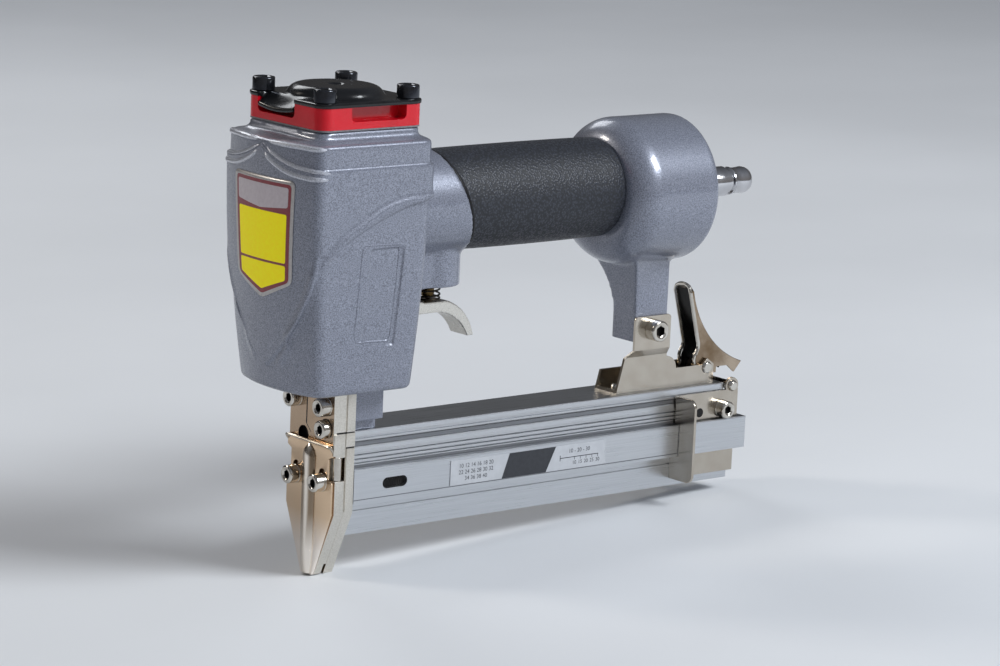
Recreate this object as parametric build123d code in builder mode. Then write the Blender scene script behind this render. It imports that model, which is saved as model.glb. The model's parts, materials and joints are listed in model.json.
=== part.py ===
from build123d import *
import os
from math import cos, pi, radians, sin, sqrt

# A pneumatic brad nailer, as the pieces it comes apart into on a bench.
# Millimetres. Z runs up the driver axis, X runs back along the handle to the air plug,
# the tool's left side faces -Y, and the origin is the nose tip, where a brad leaves.

os.makedirs("parts", exist_ok=True)

# Fits, each a room on one side
slip_fit = 0.05
run_fit = 0.08
slide_gap = 0.2
seat_gap = 0.1
free_gap = 0.4

# Head casting, three levels of one tapering section with a bowed front
head_bottom_z = 73.0
waist_z = 134.0
shoulder_z = 166.6
bottom_half_width = 25.0
bottom_rear_x = 22.6
bottom_corner_x = -21.5
bottom_front_x = -26.5
waist_half_width = 28.6
waist_rear_x = 25.2
waist_corner_x = -26.6
waist_front_x = -31.8
shoulder_half_width = 28.8
shoulder_rear_x = 25.6
shoulder_corner_x = -27.0
shoulder_front_x = -32.4
head_corner_r = 4.6
head_edge_r = 2.5
neck_inset = 0.3
neck_bow = 0.4
neck_corner_r = 5.5
neck_rise = 3.8
neck_land = 1.0

# Raised cape on the head, between the neckline and the lower crease
cape_proud = 0.9
neckline_peak_z = 165.0
neckline_bend_y = 11.0
neckline_bend_z = 160.4
neckline_corner_z = 158.0
crease_low_z = 82.0
crease_bend_y = 16.0
crease_bend_z = 98.0
crease_corner_z = 127.0
crease_middle_z = 139.0
crease_rear_z = 147.0

# Recessed panel on each side of the head
panel_front_x = -4.5
panel_rear_x = 13.0
panel_low_z = 91.0
panel_high_z = 128.0
panel_lean = 2.2
panel_depth = 0.7

# Handle, bell and leg
handle_z = 138.8
neck_r = 20.8
core_r = 16.2
passage_r = 12.5
grip_r = 19.6
grip_front_x = 50.0
grip_tilt = 18.7
grip_edge_r = 1.2
bell_drop = 2.3
bell_r = 29.2
bell_root_r = 20.6
bell_flare = 11.8
bell_length = 29.2
bell_edge_r = 2.5
bell_wall = 3.8
leg_half_width = 6.9
leg_inset = 4.7
leg_bottom_z = 75.5
leg_flare_x = 8.7
leg_flare_y = 8.5
leg_flare_ease = 0.3
leg_flare_low_z = 86.0
leg_flare_middle_z = 100.0
leg_flare_high_z = 112.0
leg_root = 6.0

# Trigger, its valve and its ears
valve_x = 47.0
boss_r = 12.0
boss_bottom_z = 106.8
boss_web_half = 10.5
bush_r = 7.0
bush_length = 17.0
stem_r = 2.5
stem_head_r = 3.8
stem_head_length = 3.0
trigger_half_width = 5.4
trigger_pivot_x = 30.5
trigger_pivot_z = 99.6
trigger_pivot_r = 3.8
trigger_pin_r = 2.0
trigger_top_z = 100.6
trigger_thickness = 4.4
trigger_flat = 5.2
trigger_tip_x = 66.0
trigger_tip_z = 85.8
trigger_tip_width = 3.0
trigger_knee_back = 6.0
trigger_knee_up = 10.5
ear_thickness = 3.4
ear_rear = 6.2
ear_low = 5.0
trigger_coil_r = 4.6
trigger_wire_r = 0.38
trigger_turns = 6
spring_pocket = 5.0

# Cylinder and driver
bore_r = 13.0
sleeve_wall = 2.2
chamber_r = 18.2
floor_thickness = 6.0
register_height = 8.0
bumper_height = 9.0
bumper_hole_r = 5.0
stroke = 46.5
piston_height = 9.0
piston_boss_r = 4.2
piston_boss_length = 7.0
sleeve_headroom = 3.0
flange_height = 4.0
blade_thickness = 1.1
blade_half_width = 2.4
blade_end_z = 0.6
blade_tang = 5.0
ring_r = 0.6

# Head valve and cap
cap_screw_margin = 4.7
cap_corner_r = 5.0
cap_height = 8.0
gasket_thickness = 0.6
skirt_wall = 2.4
skirt_depth = 12.0
valve_lift = 3.5
valve_wall = 2.6
valve_hole_r = 5.0
valve_floor = 4.0
lift_coil_r = 9.4
lift_wire_r = 0.6
lift_turns = 5
notch_depth = 5.0
notch_low = 2.6
front_notch_left_y = -7.0
front_notch_right_y = 15.8
side_notch_front_x = -10.0
side_notch_rear_x = 15.0
notch_corner_r = 2.0
exhaust_hole_r = 6.0

# Exhaust plate
plate_lip = 0.4
plate_thickness = 1.8
dome_r = 18.4
dome_height = 3.7
dome_top_r = 13.8
dimple_r = 3.2
dimple_depth = 1.0
scoop_drop = 3.5
scoop_length = 5.7
scoop_overhang = 0.2

# Cap screws, M5
cap_screw_pitch = 38.0
m5_r = 2.5
m5_head_r = 4.25
m5_head_height = 5.0
m5_hex = 4.0
cap_screw_length = 22.0

# Nose
nose_half = 14.6
nose_tip_half = 3.4
nose_taper_z = 25.3
split_x = -0.7
rear_plate_thickness = 4.3
guide_thickness = 4.4
cover_thickness = 1.2
cover_half = 14.0
cover_top_z = 51.6
cover_lip = 1.6
cover_rib_half = 2.7
cover_rib_height = 1.5
cover_rib_taper = 45
cover_rib_top_z = 49.0
cover_rib_point = 4.0
cover_rib_low_z = 8.0
land_thickness = 1.3
land_edge_y = 2.2
land_low_z = 54.0
land_slant = 3.4
tip_slot_height = 4.0
side_notch_low_z = 38.0
side_notch_high_z = 47.0
side_notch_depth = 3.6
guide_pin_r = 1.7
relief_hole_y = 6.0
relief_hole_z = 52.6
relief_hole_r = 3.2
m4_r = 2.0
m4_head_r = 3.5
m4_head_height = 4.0
m4_hex = 3.0
washer_r = 3.6
washer_thickness = 0.8
upper_screw_y = 10.2
upper_screw_z = 66.2
upper_screw_depth = 8.0
middle_screw_y = -9.9
middle_screw_z = 57.6
lower_screw_y = 8.2
lower_screw_z = 37.0
keyhole_rise = 3.0

# Lug under the head that carries the nose and the rail
lug_half = 13.5
lug_rear_x = 17.4
lug_step = 4.4
lug_foot_half = 9.0

# Fixed rail
rail_top_z = 55.5
rail_thickness = 4.0
rail_half = 10.2
rail_overhang = 2.4
rail_stem_half = 3.0
rail_stem_height = 3.1
rail_foot_half = 6.0
rail_foot_height = 1.8
rail_screw_r = 1.75
rail_screw_head_r = 2.8
rail_screw_head_height = 1.6
rail_screw_x = 10.5
rail_screw_length = 14.0

# Sliding magazine
mag_half = 10.4
mag_bottom_z = 15.5
mag_overhang = 4.6
band_half = 14.5
band_low_z = 28.5
band_high_z = 41.4
band_overhang = 5.0
skirt_half = 9.6
rib_count = 3
rib_pitch = 1.6
rib_height = 0.5
rib_width = 0.8
rib_first_z = 43.6
channel_half = 0.75
channel_floor = 0.7
window_x = 23.4
window_length = 11.7
window_height = 4.2
tunnel_half_height = 4.8
tunnel_depth = 11.0
tunnel_front_wall = 4.0
groove_drop = 3.6
groove_size = 0.5

# Size label on the magazine, a bare plate
label_front_x = 50.0
label_rear_x = 128.0
label_margin = 1.6
label_thickness = 0.3

# Tail plates, tail screws and catch pin
sheet = 1.2
flange_inset = 31.4
flange_out = 23.3
flange_corner_r = 3.5
tail_low_z = 18.6
tail_high_z = 52.8
tail_overhang = 2.2
tail_screw_inset = 6.8
tail_screw_z = 45.4
tail_screw_depth = 3.6
catch_inset = 1.2
catch_z = 54.2
catch_r = 1.8
catch_dome = 1.4
catch_ear_r = 3.4

# Pusher and its spring
pusher_thickness = 1.1
pusher_length = 9.0
carriage_length = 14.0
rod_r = 1.5
rod_y = 6.2
pusher_coil_r = 2.9
pusher_wire_r = 0.4
pusher_turns = 28
stop_length = 6.0

# Rear bracket: its rear end sets how long the tool is, and the rest follows from there
bracket_half = 6.6
bracket_rear_x = 191.6
bracket_tail = 26.0
bracket_lead = 7.2
bracket_slant = 3.8
bracket_slant_z = 69.4
tab_width = 18.8
tab_lap_front = 0.7
tab_lap_rear = 0.8
tab_high_z = 86.0
joggle_low_z = 69.6
joggle_high_z = 72.4
bracket_dip_r = 5.4
bracket_dip_z = 63.0
tab_corner_r = 1.5
bracket_screw_z = 80.4
nut_height = 4.0
nut_width = 8.0
head_taper = 30
rivet_r = 1.6
rivet_head_r = 2.6
rivet_head_height = 1.3
rivet_front_inset = 5.6
rivet_past_dip = 1.0
rivet_grip = 3.0

# Latch lever, an arc-backed channel, with its X measured from the pivot
latch_pivot_inset = 3.7
latch_pivot_z = 61.6
latch_pin_r = 2.0
latch_pin_head_r = 2.6
latch_pin_head = 1.0
latch_half = 5.1
latch_sheet = 1.1
latch_arc_x = 33.3
latch_arc_z = 102.1
latch_arc_r = 41.9
latch_top_x = -9.5
latch_top_z = 96.2
latch_front_top_x = -9.5
latch_front_top_z = 94.0
latch_front_low_x = -3.5
latch_front_low_z = 70.5
latch_heel_x = -5.5
latch_heel_z = 66.0
latch_sole_x = -5.9
latch_sole_z = 59.4
latch_jaw_x = 6.7
latch_jaw_z = 58.6
latch_jaw_roof_z = 61.0
latch_hook_x = 12.7
latch_tip_x = 16.6
latch_tip_z = 57.8
latch_tail_x = 20.5
latch_coil_r = 2.9
latch_wire_r = 0.4
latch_turns = 3
latch_coil_pitch = 1.4

# Handle end cap and air plug
end_cap_length = 6.0
end_cap_inset = 2.2
end_ring_width = 1.2
end_ring_bite = 1.0
end_ring_depth = 3.0
plug_thread_r = 5.6
plug_thread_length = 9.0
plug_hex = 16.0
plug_hex_length = 8.0
plug_neck_r = 4.8
plug_collar_r = 6.35
plug_reach = 16.5
plug_collar_length = 8.5
plug_groove_length = 1.8
plug_nose_r = 5.6
plug_nose_length = 13.5
plug_bore_r = 3.2
plug_edge_r = 1.6

# Levels and places worked out from the sizes above
cap_half = cap_screw_pitch / 2 + cap_screw_margin
neck_half = cap_half - neck_inset
plate_half = cap_half + plate_lip
scoop_tip_x = -plate_half - scoop_overhang
scoop_root_x = scoop_tip_x + scoop_length
neck_top_z = shoulder_z + neck_rise + neck_land
floor_top_z = head_bottom_z + floor_thickness
bumper_top_z = floor_top_z + bumper_height
piston_bottom_z = bumper_top_z + seat_gap + stroke
piston_top_z = piston_bottom_z + piston_height
sleeve_r = bore_r + sleeve_wall
sleeve_top_z = piston_top_z + sleeve_headroom
cap_low_z = neck_top_z + gasket_thickness
cap_top_z = cap_low_z + cap_height
plate_top_z = cap_top_z + plate_thickness
valve_bottom_z = sleeve_top_z + slide_gap
skirt_r = chamber_r - slip_fit
valve_r = skirt_r - skirt_wall - run_fit
valve_top_z = cap_low_z - valve_lift - free_gap
nose_rear_x = split_x + rear_plate_thickness
guide_front_x = split_x - guide_thickness
cover_front_x = guide_front_x - cover_thickness
land_front_x = guide_front_x - land_thickness
rail_low_z = rail_top_z - rail_thickness
rail_foot_high_z = rail_low_z - rail_stem_height
rail_foot_low_z = rail_foot_high_z - rail_foot_height
rail_screw_seat_z = rail_foot_low_z + rail_screw_head_height + seat_gap
mag_front_x = nose_rear_x + free_gap
mag_top_z = rail_low_z - slide_gap
lug_low_z = rail_top_z
rail_rear_x = bracket_rear_x + rail_overhang
mag_rear_x = rail_rear_x + mag_overhang
flange_x = mag_rear_x - flange_inset
band_rear_x = mag_rear_x + band_overhang
tail_rear_x = mag_rear_x + tail_overhang
tail_screw_x = mag_rear_x - tail_screw_inset
catch_x = mag_rear_x - catch_inset
rib_top_y = mag_half + rib_height
band_mid_z = (band_low_z + band_high_z) / 2
tunnel_front_x = mag_front_x + tunnel_front_wall
blade_rest_z = stroke + blade_end_z
tab_rear_x = bracket_rear_x - bracket_tail
tab_front_x = tab_rear_x - tab_width
bracket_front_x = tab_front_x - bracket_lead
bracket_slant_x = bracket_front_x + bracket_slant
bracket_dip_x = tab_rear_x + bracket_dip_r
rivet_front_x = bracket_front_x + rivet_front_inset
rivet_rear_x = bracket_dip_x + rivet_past_dip
latch_pivot_x = bracket_rear_x - latch_pivot_inset
leg_front_x = tab_front_x + tab_lap_front
leg_rear_x = tab_rear_x - tab_lap_rear
bell_rear_x = leg_rear_x + leg_inset
bell_shoulder_x = bell_rear_x - bell_length
grip_rear_x = bell_shoulder_x - bell_flare
bell_z = handle_z - bell_drop
bell_bore_r = bell_r - bell_wall
axis_of_bell = Axis((0, 0, bell_z), (1, 0, 0))
axis_of_driver = Axis.Z
bracket_screw_x = (tab_front_x + tab_rear_x) / 2
bracket_low_z = rail_top_z
bracket_floor_z = bracket_low_z + sheet
tab_inner = leg_half_width + slip_fit
tab_outer = tab_inner + sheet
bush_top_z = boss_bottom_z + bush_length
spring_seat_z = boss_bottom_z + spring_pocket
stem_low_z = trigger_top_z + seat_gap
end_cap_rear_x = bell_rear_x - end_cap_inset - end_ring_width
end_cap_front_x = end_cap_rear_x - end_cap_length
outside = 120.0


def disc(plane, radius, length, mode=Mode.ADD):
    """A round bar of the given length, standing on a plane."""
    with BuildSketch(plane) as profile:
        Circle(radius)
    extrude(profile.sketch, amount=length, mode=mode)


def block(low, high, mode=Mode.ADD):
    """A box between two opposite corners."""
    with BuildSketch(Plane.XY.offset(low[2])) as profile:
        with Locations(((low[0] + high[0]) / 2, (low[1] + high[1]) / 2)):
            Rectangle(high[0] - low[0], high[1] - low[1])
    extrude(profile.sketch, amount=high[2] - low[2], mode=mode)


def socket_screw(seat, shank_r, head_r, head_height, hex_width, length):
    """A socket head screw whose head stands on a seat plane."""
    disc(seat, head_r, head_height)
    disc(seat, shank_r, -length)
    with BuildSketch(seat.offset(head_height)) as socket:
        RegularPolygon(hex_width / 2, 6, major_radius=False)
    extrude(socket.sketch, amount=-head_height / 2, mode=Mode.SUBTRACT)


def seal_ring(plane, centre_r):
    """A round seal ring about a plane's own axis."""
    with BuildSketch(Plane(plane.origin, x_dir=plane.x_dir, z_dir=plane.y_dir)) as profile:
        with Locations((centre_r, 0)):
            Circle(ring_r)
    revolve(profile.sketch, axis=Axis(plane.origin, plane.z_dir))


def ring_groove(plane, outer_r):
    """The groove that a seal ring lies in, cut round a bar of the given radius."""
    with BuildSketch(plane.offset(-ring_r - slip_fit)) as profile:
        Circle(outer_r + ring_r)
        Circle(outer_r - 2 * ring_r - slip_fit, mode=Mode.SUBTRACT)
    extrude(profile.sketch, amount=2 * (ring_r + slip_fit), mode=Mode.SUBTRACT)


def coil_points(plane, radius, pitch, turns):
    """Points and directions a quarter turn apart along a coil that climbs a plane's axis."""
    stations = []
    for quarter in range(4 * turns + 1):
        angle = quarter * pi / 2
        climb = pitch * quarter / 4
        place = plane.from_local_coords(Vector(radius * cos(angle), radius * sin(angle), climb))
        ahead = plane.from_local_coords(
            Vector(
                radius * cos(angle) - radius * sin(angle),
                radius * sin(angle) + radius * cos(angle),
                climb + pitch / (2 * pi),
            )
        )
        stations.append((place, (ahead - place).normalized()))
    return stations


def coil_tube(plane, radius, pitch, turns, wire_r):
    """One unbroken wire coil, swept along two tangent arcs to each quarter turn."""
    stations = coil_points(plane, radius, pitch, turns)
    with BuildLine() as path:
        for (start, lead), (finish, trail) in zip(stations, stations[1:]):
            span = finish - start
            sweep_sum = span.dot(lead + trail)
            bend = 2 * (1 - lead.dot(trail))
            reach = (sqrt(sweep_sum**2 + bend * span.dot(span)) - sweep_sum) / bend
            middle = (start + lead * reach + finish - trail * reach) * 0.5
            first = TangentArc(start, middle, tangent=lead)
            TangentArc(middle, finish, tangent=first % 1)
    with BuildSketch(Plane(path.line @ 0, z_dir=path.line % 0)) as profile:
        Circle(wire_r)
    sweep(profile.sketch, path=path.line)


def coil_gap(name, radius, pitch, wire_r):
    """Print the least room between neighbouring curls of a coil, measured on points of its line."""
    steps = 720
    least = 4 * radius + pitch
    for step in range(steps // 2, steps + steps // 2):
        angle = 2 * pi * step / steps
        flat = 2 * radius * sin(angle / 2)
        climb = pitch * step / steps
        least = min(least, sqrt(flat**2 + climb**2))
    print(name, "least gap between curls", round(least - 2 * wire_r, 3))


def head_level(z, half_width, rear_x, corner_x, front_x, proud, corner_r):
    """One level of the head: flat sides and rear, a bowed front, rounded corners."""
    with BuildSketch(Plane.XY.offset(z)) as level:
        with BuildLine():
            ThreePointArc(
                (corner_x - proud, half_width + proud),
                (front_x - proud, 0),
                (corner_x - proud, -half_width - proud),
            )
            Polyline(
                (corner_x - proud, -half_width - proud),
                (rear_x + proud, -half_width - proud),
                (rear_x + proud, half_width + proud),
                (corner_x - proud, half_width + proud),
            )
        make_face()
        fillet(level.vertices(), corner_r)
    return level.sketch


def shoulder_level(proud):
    """The top level of the head, where the neck begins."""
    return head_level(
        shoulder_z,
        shoulder_half_width,
        shoulder_rear_x,
        shoulder_corner_x,
        shoulder_front_x,
        proud,
        head_corner_r,
    )


def neck_level():
    """The level of the neck under the gasket."""
    return head_level(
        shoulder_z + neck_rise,
        neck_half,
        neck_half,
        -neck_half,
        -neck_half - neck_bow,
        0,
        neck_corner_r,
    )


def head_body(proud):
    """The tapering body of the head, grown outwards by a given amount."""
    bottom = head_level(
        head_bottom_z,
        bottom_half_width,
        bottom_rear_x,
        bottom_corner_x,
        bottom_front_x,
        proud,
        head_corner_r,
    )
    waist = head_level(
        waist_z,
        waist_half_width,
        waist_rear_x,
        waist_corner_x,
        waist_front_x,
        proud,
        head_corner_r,
    )
    loft([bottom, waist, shoulder_level(proud)])


# Raised cape of the head, trimmed to its neckline above and its crease below
cape_turn_x = waist_corner_x + head_corner_r
with BuildPart() as cape:
    head_body(cape_proud)
    with BuildSketch(Plane.YZ.offset(-outside)):
        with BuildLine():
            ThreePointArc(
                (-waist_half_width, neckline_corner_z),
                (-neckline_bend_y, neckline_bend_z),
                (0, neckline_peak_z),
            )
            ThreePointArc(
                (0, neckline_peak_z),
                (neckline_bend_y, neckline_bend_z),
                (waist_half_width, neckline_corner_z),
            )
            Polyline(
                (waist_half_width, neckline_corner_z),
                (outside, neckline_corner_z),
                (outside, shoulder_z + neck_rise),
                (-outside, shoulder_z + neck_rise),
                (-outside, neckline_corner_z),
                (-waist_half_width, neckline_corner_z),
            )
        make_face()
    extrude(amount=2 * outside, mode=Mode.SUBTRACT)
    with BuildSketch(Plane.YZ.offset(-outside)):
        with BuildLine():
            ThreePointArc(
                (-waist_half_width, crease_corner_z),
                (-crease_bend_y, crease_bend_z),
                (0, crease_low_z),
            )
            ThreePointArc(
                (0, crease_low_z),
                (crease_bend_y, crease_bend_z),
                (waist_half_width, crease_corner_z),
            )
            Polyline(
                (waist_half_width, crease_corner_z),
                (outside, crease_corner_z),
                (outside, 0),
                (-outside, 0),
                (-outside, crease_corner_z),
                (-waist_half_width, crease_corner_z),
            )
        make_face()
    extrude(amount=outside + cape_turn_x, mode=Mode.SUBTRACT)
    with BuildSketch(Plane.XZ):
        with BuildLine():
            ThreePointArc(
                (cape_turn_x, crease_corner_z),
                ((cape_turn_x + waist_rear_x) / 2, crease_middle_z),
                (waist_rear_x + 2 * cape_proud, crease_rear_z),
            )
            Polyline(
                (waist_rear_x + 2 * cape_proud, crease_rear_z),
                (waist_rear_x + 2 * cape_proud, 0),
                (cape_turn_x, 0),
                (cape_turn_x, crease_corner_z),
            )
        make_face()
    extrude(amount=outside, both=True, mode=Mode.SUBTRACT)

# Core of the side panels, the head shrunk by the depth of the panels
with BuildPart() as panel_core:
    head_body(-panel_depth)

# Cutter for the recessed panel on each side of the head
with BuildPart() as panel_cut:
    with BuildSketch(Plane.XZ) as panel:
        Polygon(
            (panel_front_x, panel_low_z),
            (panel_rear_x - panel_lean, panel_low_z),
            (panel_rear_x, panel_high_z),
            (panel_front_x + panel_lean, panel_high_z),
            align=None,
        )
        fillet(panel.vertices(), panel_depth)
    extrude(amount=outside, both=True)
    add(panel_core.part, mode=Mode.SUBTRACT)



def leg_level(z, forward, wider):
    """One level of the leg, with its front edge moved forward and made wider."""
    with BuildSketch(Plane.XY.offset(z)) as level:
        Polygon(
            (leg_front_x - forward, -leg_half_width - wider),
            (leg_rear_x, -leg_half_width),
            (leg_rear_x, leg_half_width),
            (leg_front_x - forward, leg_half_width + wider),
            align=None,
        )
    return level.sketch


# Neck of the handle, cut off at the slanted front of the grip
across_handle = Plane((0, 0, handle_z), x_dir=(0, 1, 0), z_dir=(1, 0, 0))
across_bell = Plane((0, 0, bell_z), x_dir=(0, 1, 0), z_dir=(1, 0, 0))
grip_plane = Plane(
    (grip_front_x, 0, handle_z),
    z_dir=(cos(radians(grip_tilt)), 0, sin(radians(grip_tilt))),
)
with BuildPart() as handle_neck:
    disc(across_handle, neck_r, outside)
    split(bisect_by=grip_plane, keep=Keep.BOTTOM)

# Body casting: head, handle core, bell, leg, valve boss, trigger ears and nose lug
ear_half = trigger_half_width + slide_gap + ear_thickness
inside_x = bottom_rear_x - head_corner_r
cap_screw_spots = GridLocations(cap_screw_pitch, cap_screw_pitch, 2, 2)
with BuildPart() as body_casting:
    head_body(0)
    fillet(body_casting.faces().sort_by(Axis.Z)[0].edges(), head_edge_r)
    loft([shoulder_level(0), neck_level()], ruled=True)
    extrude(neck_level(), amount=neck_land)
    add(cape.part)
    add(panel_cut.part, mode=Mode.SUBTRACT)
    add(handle_neck.part)
    disc(across_handle, core_r, bell_shoulder_x)
    with BuildSketch(Plane.XZ):
        with BuildLine():
            Line((grip_rear_x, bell_z), (grip_rear_x, bell_z + bell_root_r))
            RadiusArc(
                (grip_rear_x, bell_z + bell_root_r),
                (bell_shoulder_x, bell_z + bell_r),
                bell_shoulder_x - grip_rear_x,
            )
            Line(
                (bell_shoulder_x, bell_z + bell_r),
                (bell_rear_x - bell_edge_r, bell_z + bell_r),
            )
            RadiusArc(
                (bell_rear_x - bell_edge_r, bell_z + bell_r),
                (bell_rear_x, bell_z + bell_r - bell_edge_r),
                bell_edge_r,
            )
            Polyline(
                (bell_rear_x, bell_z + bell_r - bell_edge_r),
                (bell_rear_x, bell_z),
                (grip_rear_x, bell_z),
            )
        make_face()
    revolve(axis=axis_of_bell)
    extrude(leg_level(leg_bottom_z, 0, 0), amount=leg_flare_low_z - leg_bottom_z)
    loft(
        [
            leg_level(leg_flare_low_z, 0, 0),
            leg_level(leg_flare_middle_z, leg_flare_ease * leg_flare_x, leg_flare_ease * leg_flare_y),
            leg_level(leg_flare_high_z, leg_flare_x, leg_flare_y),
        ]
    )
    extrude(leg_level(leg_flare_high_z, leg_flare_x, leg_flare_y), amount=leg_root)
    block((inside_x, -boss_web_half, boss_bottom_z), (valve_x, boss_web_half, handle_z))
    disc(Plane((valve_x, 0, boss_bottom_z)), boss_r, handle_z - boss_bottom_z)
    block(
        (inside_x, -ear_half, trigger_pivot_z - ear_low),
        (trigger_pivot_x + ear_rear, ear_half, boss_bottom_z),
    )
    block((nose_rear_x, -lug_half, lug_low_z + lug_step), (lug_rear_x, lug_half, floor_top_z))
    block((nose_rear_x, -lug_foot_half, lug_low_z), (lug_rear_x, lug_foot_half, floor_top_z))
    # Room for the trigger between its ears
    block(
        (
            trigger_pivot_x - trigger_pivot_r - free_gap,
            -trigger_half_width - slide_gap,
            trigger_pivot_z - 2 * ear_low,
        ),
        (trigger_pivot_x + 2 * ear_rear, trigger_half_width + slide_gap, boss_bottom_z),
        mode=Mode.SUBTRACT,
    )
    # Bores up the driver axis
    disc(Plane.XY.offset(head_bottom_z - free_gap), bumper_hole_r, outside, mode=Mode.SUBTRACT)
    disc(Plane.XY.offset(floor_top_z), sleeve_r + slip_fit, outside, mode=Mode.SUBTRACT)
    disc(Plane.XY.offset(floor_top_z + register_height), chamber_r, outside, mode=Mode.SUBTRACT)
    # Air passage along the handle and the reservoir in the bell
    disc(across_handle, passage_r, bell_rear_x, mode=Mode.SUBTRACT)
    disc(
        across_bell.offset(bell_shoulder_x + bell_wall),
        bell_bore_r,
        outside,
        mode=Mode.SUBTRACT,
    )
    disc(
        across_bell.offset(end_cap_rear_x),
        bell_bore_r + end_ring_bite,
        end_ring_width,
        mode=Mode.SUBTRACT,
    )
    # Valve bore, pin hole and screw holes
    disc(
        Plane((valve_x, 0, boss_bottom_z)),
        bush_r + slip_fit,
        handle_z - boss_bottom_z,
        mode=Mode.SUBTRACT,
    )
    with BuildSketch(Plane.XZ):
        with Locations((trigger_pivot_x, trigger_pivot_z)):
            Circle(trigger_pin_r + slip_fit)
        with Locations((bracket_screw_x, bracket_screw_z)):
            Circle(m5_r + slip_fit)
    extrude(amount=outside, both=True, mode=Mode.SUBTRACT)
    with BuildSketch(Plane.XY.offset(neck_top_z)):
        with cap_screw_spots:
            Circle(m5_r + slip_fit)
    extrude(amount=plate_top_z - neck_top_z - cap_screw_length - free_gap, mode=Mode.SUBTRACT)
    with BuildSketch(Plane.YZ.offset(nose_rear_x)):
        with Locations((-upper_screw_y, upper_screw_z), (upper_screw_y, upper_screw_z)):
            Circle(m4_r + slip_fit)
    extrude(amount=upper_screw_depth + free_gap, mode=Mode.SUBTRACT)
    disc(
        Plane((rail_screw_x, 0, lug_low_z)),
        rail_screw_r + slip_fit,
        rail_screw_seat_z + rail_screw_length + free_gap - lug_low_z,
        mode=Mode.SUBTRACT,
    )
body_casting.part.label = "body_casting"
export_step(body_casting.part, "parts/body_casting.step")

# Grip sleeve
with BuildPart() as grip_sleeve:
    with BuildSketch(across_handle):
        Circle(grip_r)
        Circle(core_r + slip_fit, mode=Mode.SUBTRACT)
    extrude(amount=grip_rear_x - slip_fit)
    split(bisect_by=grip_plane.offset(slip_fit), keep=Keep.TOP)
    disc(
        Plane((valve_x, 0, boss_bottom_z)),
        boss_r + slip_fit,
        handle_z - boss_bottom_z,
        mode=Mode.SUBTRACT,
    )
    fillet(grip_sleeve.edges().filter_by(GeomType.CIRCLE).sort_by(SortBy.LENGTH)[-1], grip_edge_r)
grip_sleeve.part.label = "grip_sleeve"
export_step(grip_sleeve.part, "parts/grip_sleeve.step")

# Cylinder sleeve, its flange and its seal rings
sleeve_ring = Plane.XY.offset(floor_top_z + register_height / 2)
flange_z = handle_z - passage_r - 2 * flange_height
flange_ring = Plane.XY.offset(flange_z + flange_height / 2)
with BuildPart() as cylinder_sleeve:
    disc(Plane.XY.offset(floor_top_z), sleeve_r, sleeve_top_z - floor_top_z)
    disc(Plane.XY.offset(flange_z), chamber_r - slip_fit, flange_height)
    ring_groove(sleeve_ring, sleeve_r)
    ring_groove(flange_ring, chamber_r - slip_fit)
    disc(Plane.XY.offset(floor_top_z), bore_r, outside, mode=Mode.SUBTRACT)
cylinder_sleeve.part.label = "cylinder_sleeve"
export_step(cylinder_sleeve.part, "parts/cylinder_sleeve.step")

with BuildPart() as cylinder_seals:
    seal_ring(sleeve_ring, sleeve_r - ring_r)
    seal_ring(flange_ring, chamber_r - slip_fit - ring_r)
cylinder_seals.part.label = "cylinder_seals"
export_step(cylinder_seals.part, "parts/cylinder_seals.step")

# Bumper under the piston
with BuildPart() as bumper:
    with BuildSketch(Plane.XY.offset(floor_top_z)):
        Circle(bore_r - slip_fit)
        Circle(bumper_hole_r, mode=Mode.SUBTRACT)
    extrude(amount=bumper_height)
bumper.part.label = "bumper"
export_step(bumper.part, "parts/bumper.step")

# Piston with the boss that grips the driver blade
piston_ring = Plane.XY.offset(piston_bottom_z + piston_height / 2)
with BuildPart() as piston:
    disc(Plane.XY.offset(piston_bottom_z), bore_r - run_fit, piston_height)
    disc(Plane.XY.offset(piston_bottom_z), piston_boss_r, -piston_boss_length)
    ring_groove(piston_ring, bore_r - run_fit)
    block(
        (
            -blade_thickness / 2 - slip_fit,
            -blade_half_width - slip_fit,
            piston_bottom_z - piston_boss_length,
        ),
        (
            blade_thickness / 2 + slip_fit,
            blade_half_width + slip_fit,
            piston_bottom_z + blade_tang,
        ),
        mode=Mode.SUBTRACT,
    )
piston.part.label = "piston"
export_step(piston.part, "parts/piston.step")

with BuildPart() as piston_seal:
    seal_ring(piston_ring, bore_r - run_fit - ring_r)
piston_seal.part.label = "piston_seal"
export_step(piston_seal.part, "parts/piston_seal.step")

with BuildPart() as driver_blade:
    block(
        (-blade_thickness / 2, -blade_half_width, blade_rest_z),
        (blade_thickness / 2, blade_half_width, piston_bottom_z + blade_tang),
    )
driver_blade.part.label = "driver_blade"
export_step(driver_blade.part, "parts/driver_blade.step")

# Head valve, a cup on the rim of the cylinder
valve_ring = Plane.XY.offset(valve_top_z - valve_wall)
with BuildPart() as head_valve:
    disc(Plane.XY.offset(valve_bottom_z), valve_r, valve_top_z - valve_bottom_z)
    disc(
        Plane.XY.offset(valve_bottom_z + valve_floor),
        valve_r - valve_wall,
        outside,
        mode=Mode.SUBTRACT,
    )
    disc(Plane.XY.offset(valve_bottom_z), valve_hole_r, valve_floor, mode=Mode.SUBTRACT)
    ring_groove(valve_ring, valve_r)
head_valve.part.label = "head_valve"
export_step(head_valve.part, "parts/head_valve.step")

with BuildPart() as head_valve_seal:
    seal_ring(valve_ring, valve_r - ring_r)
head_valve_seal.part.label = "head_valve_seal"
export_step(head_valve_seal.part, "parts/head_valve_seal.step")

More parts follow.
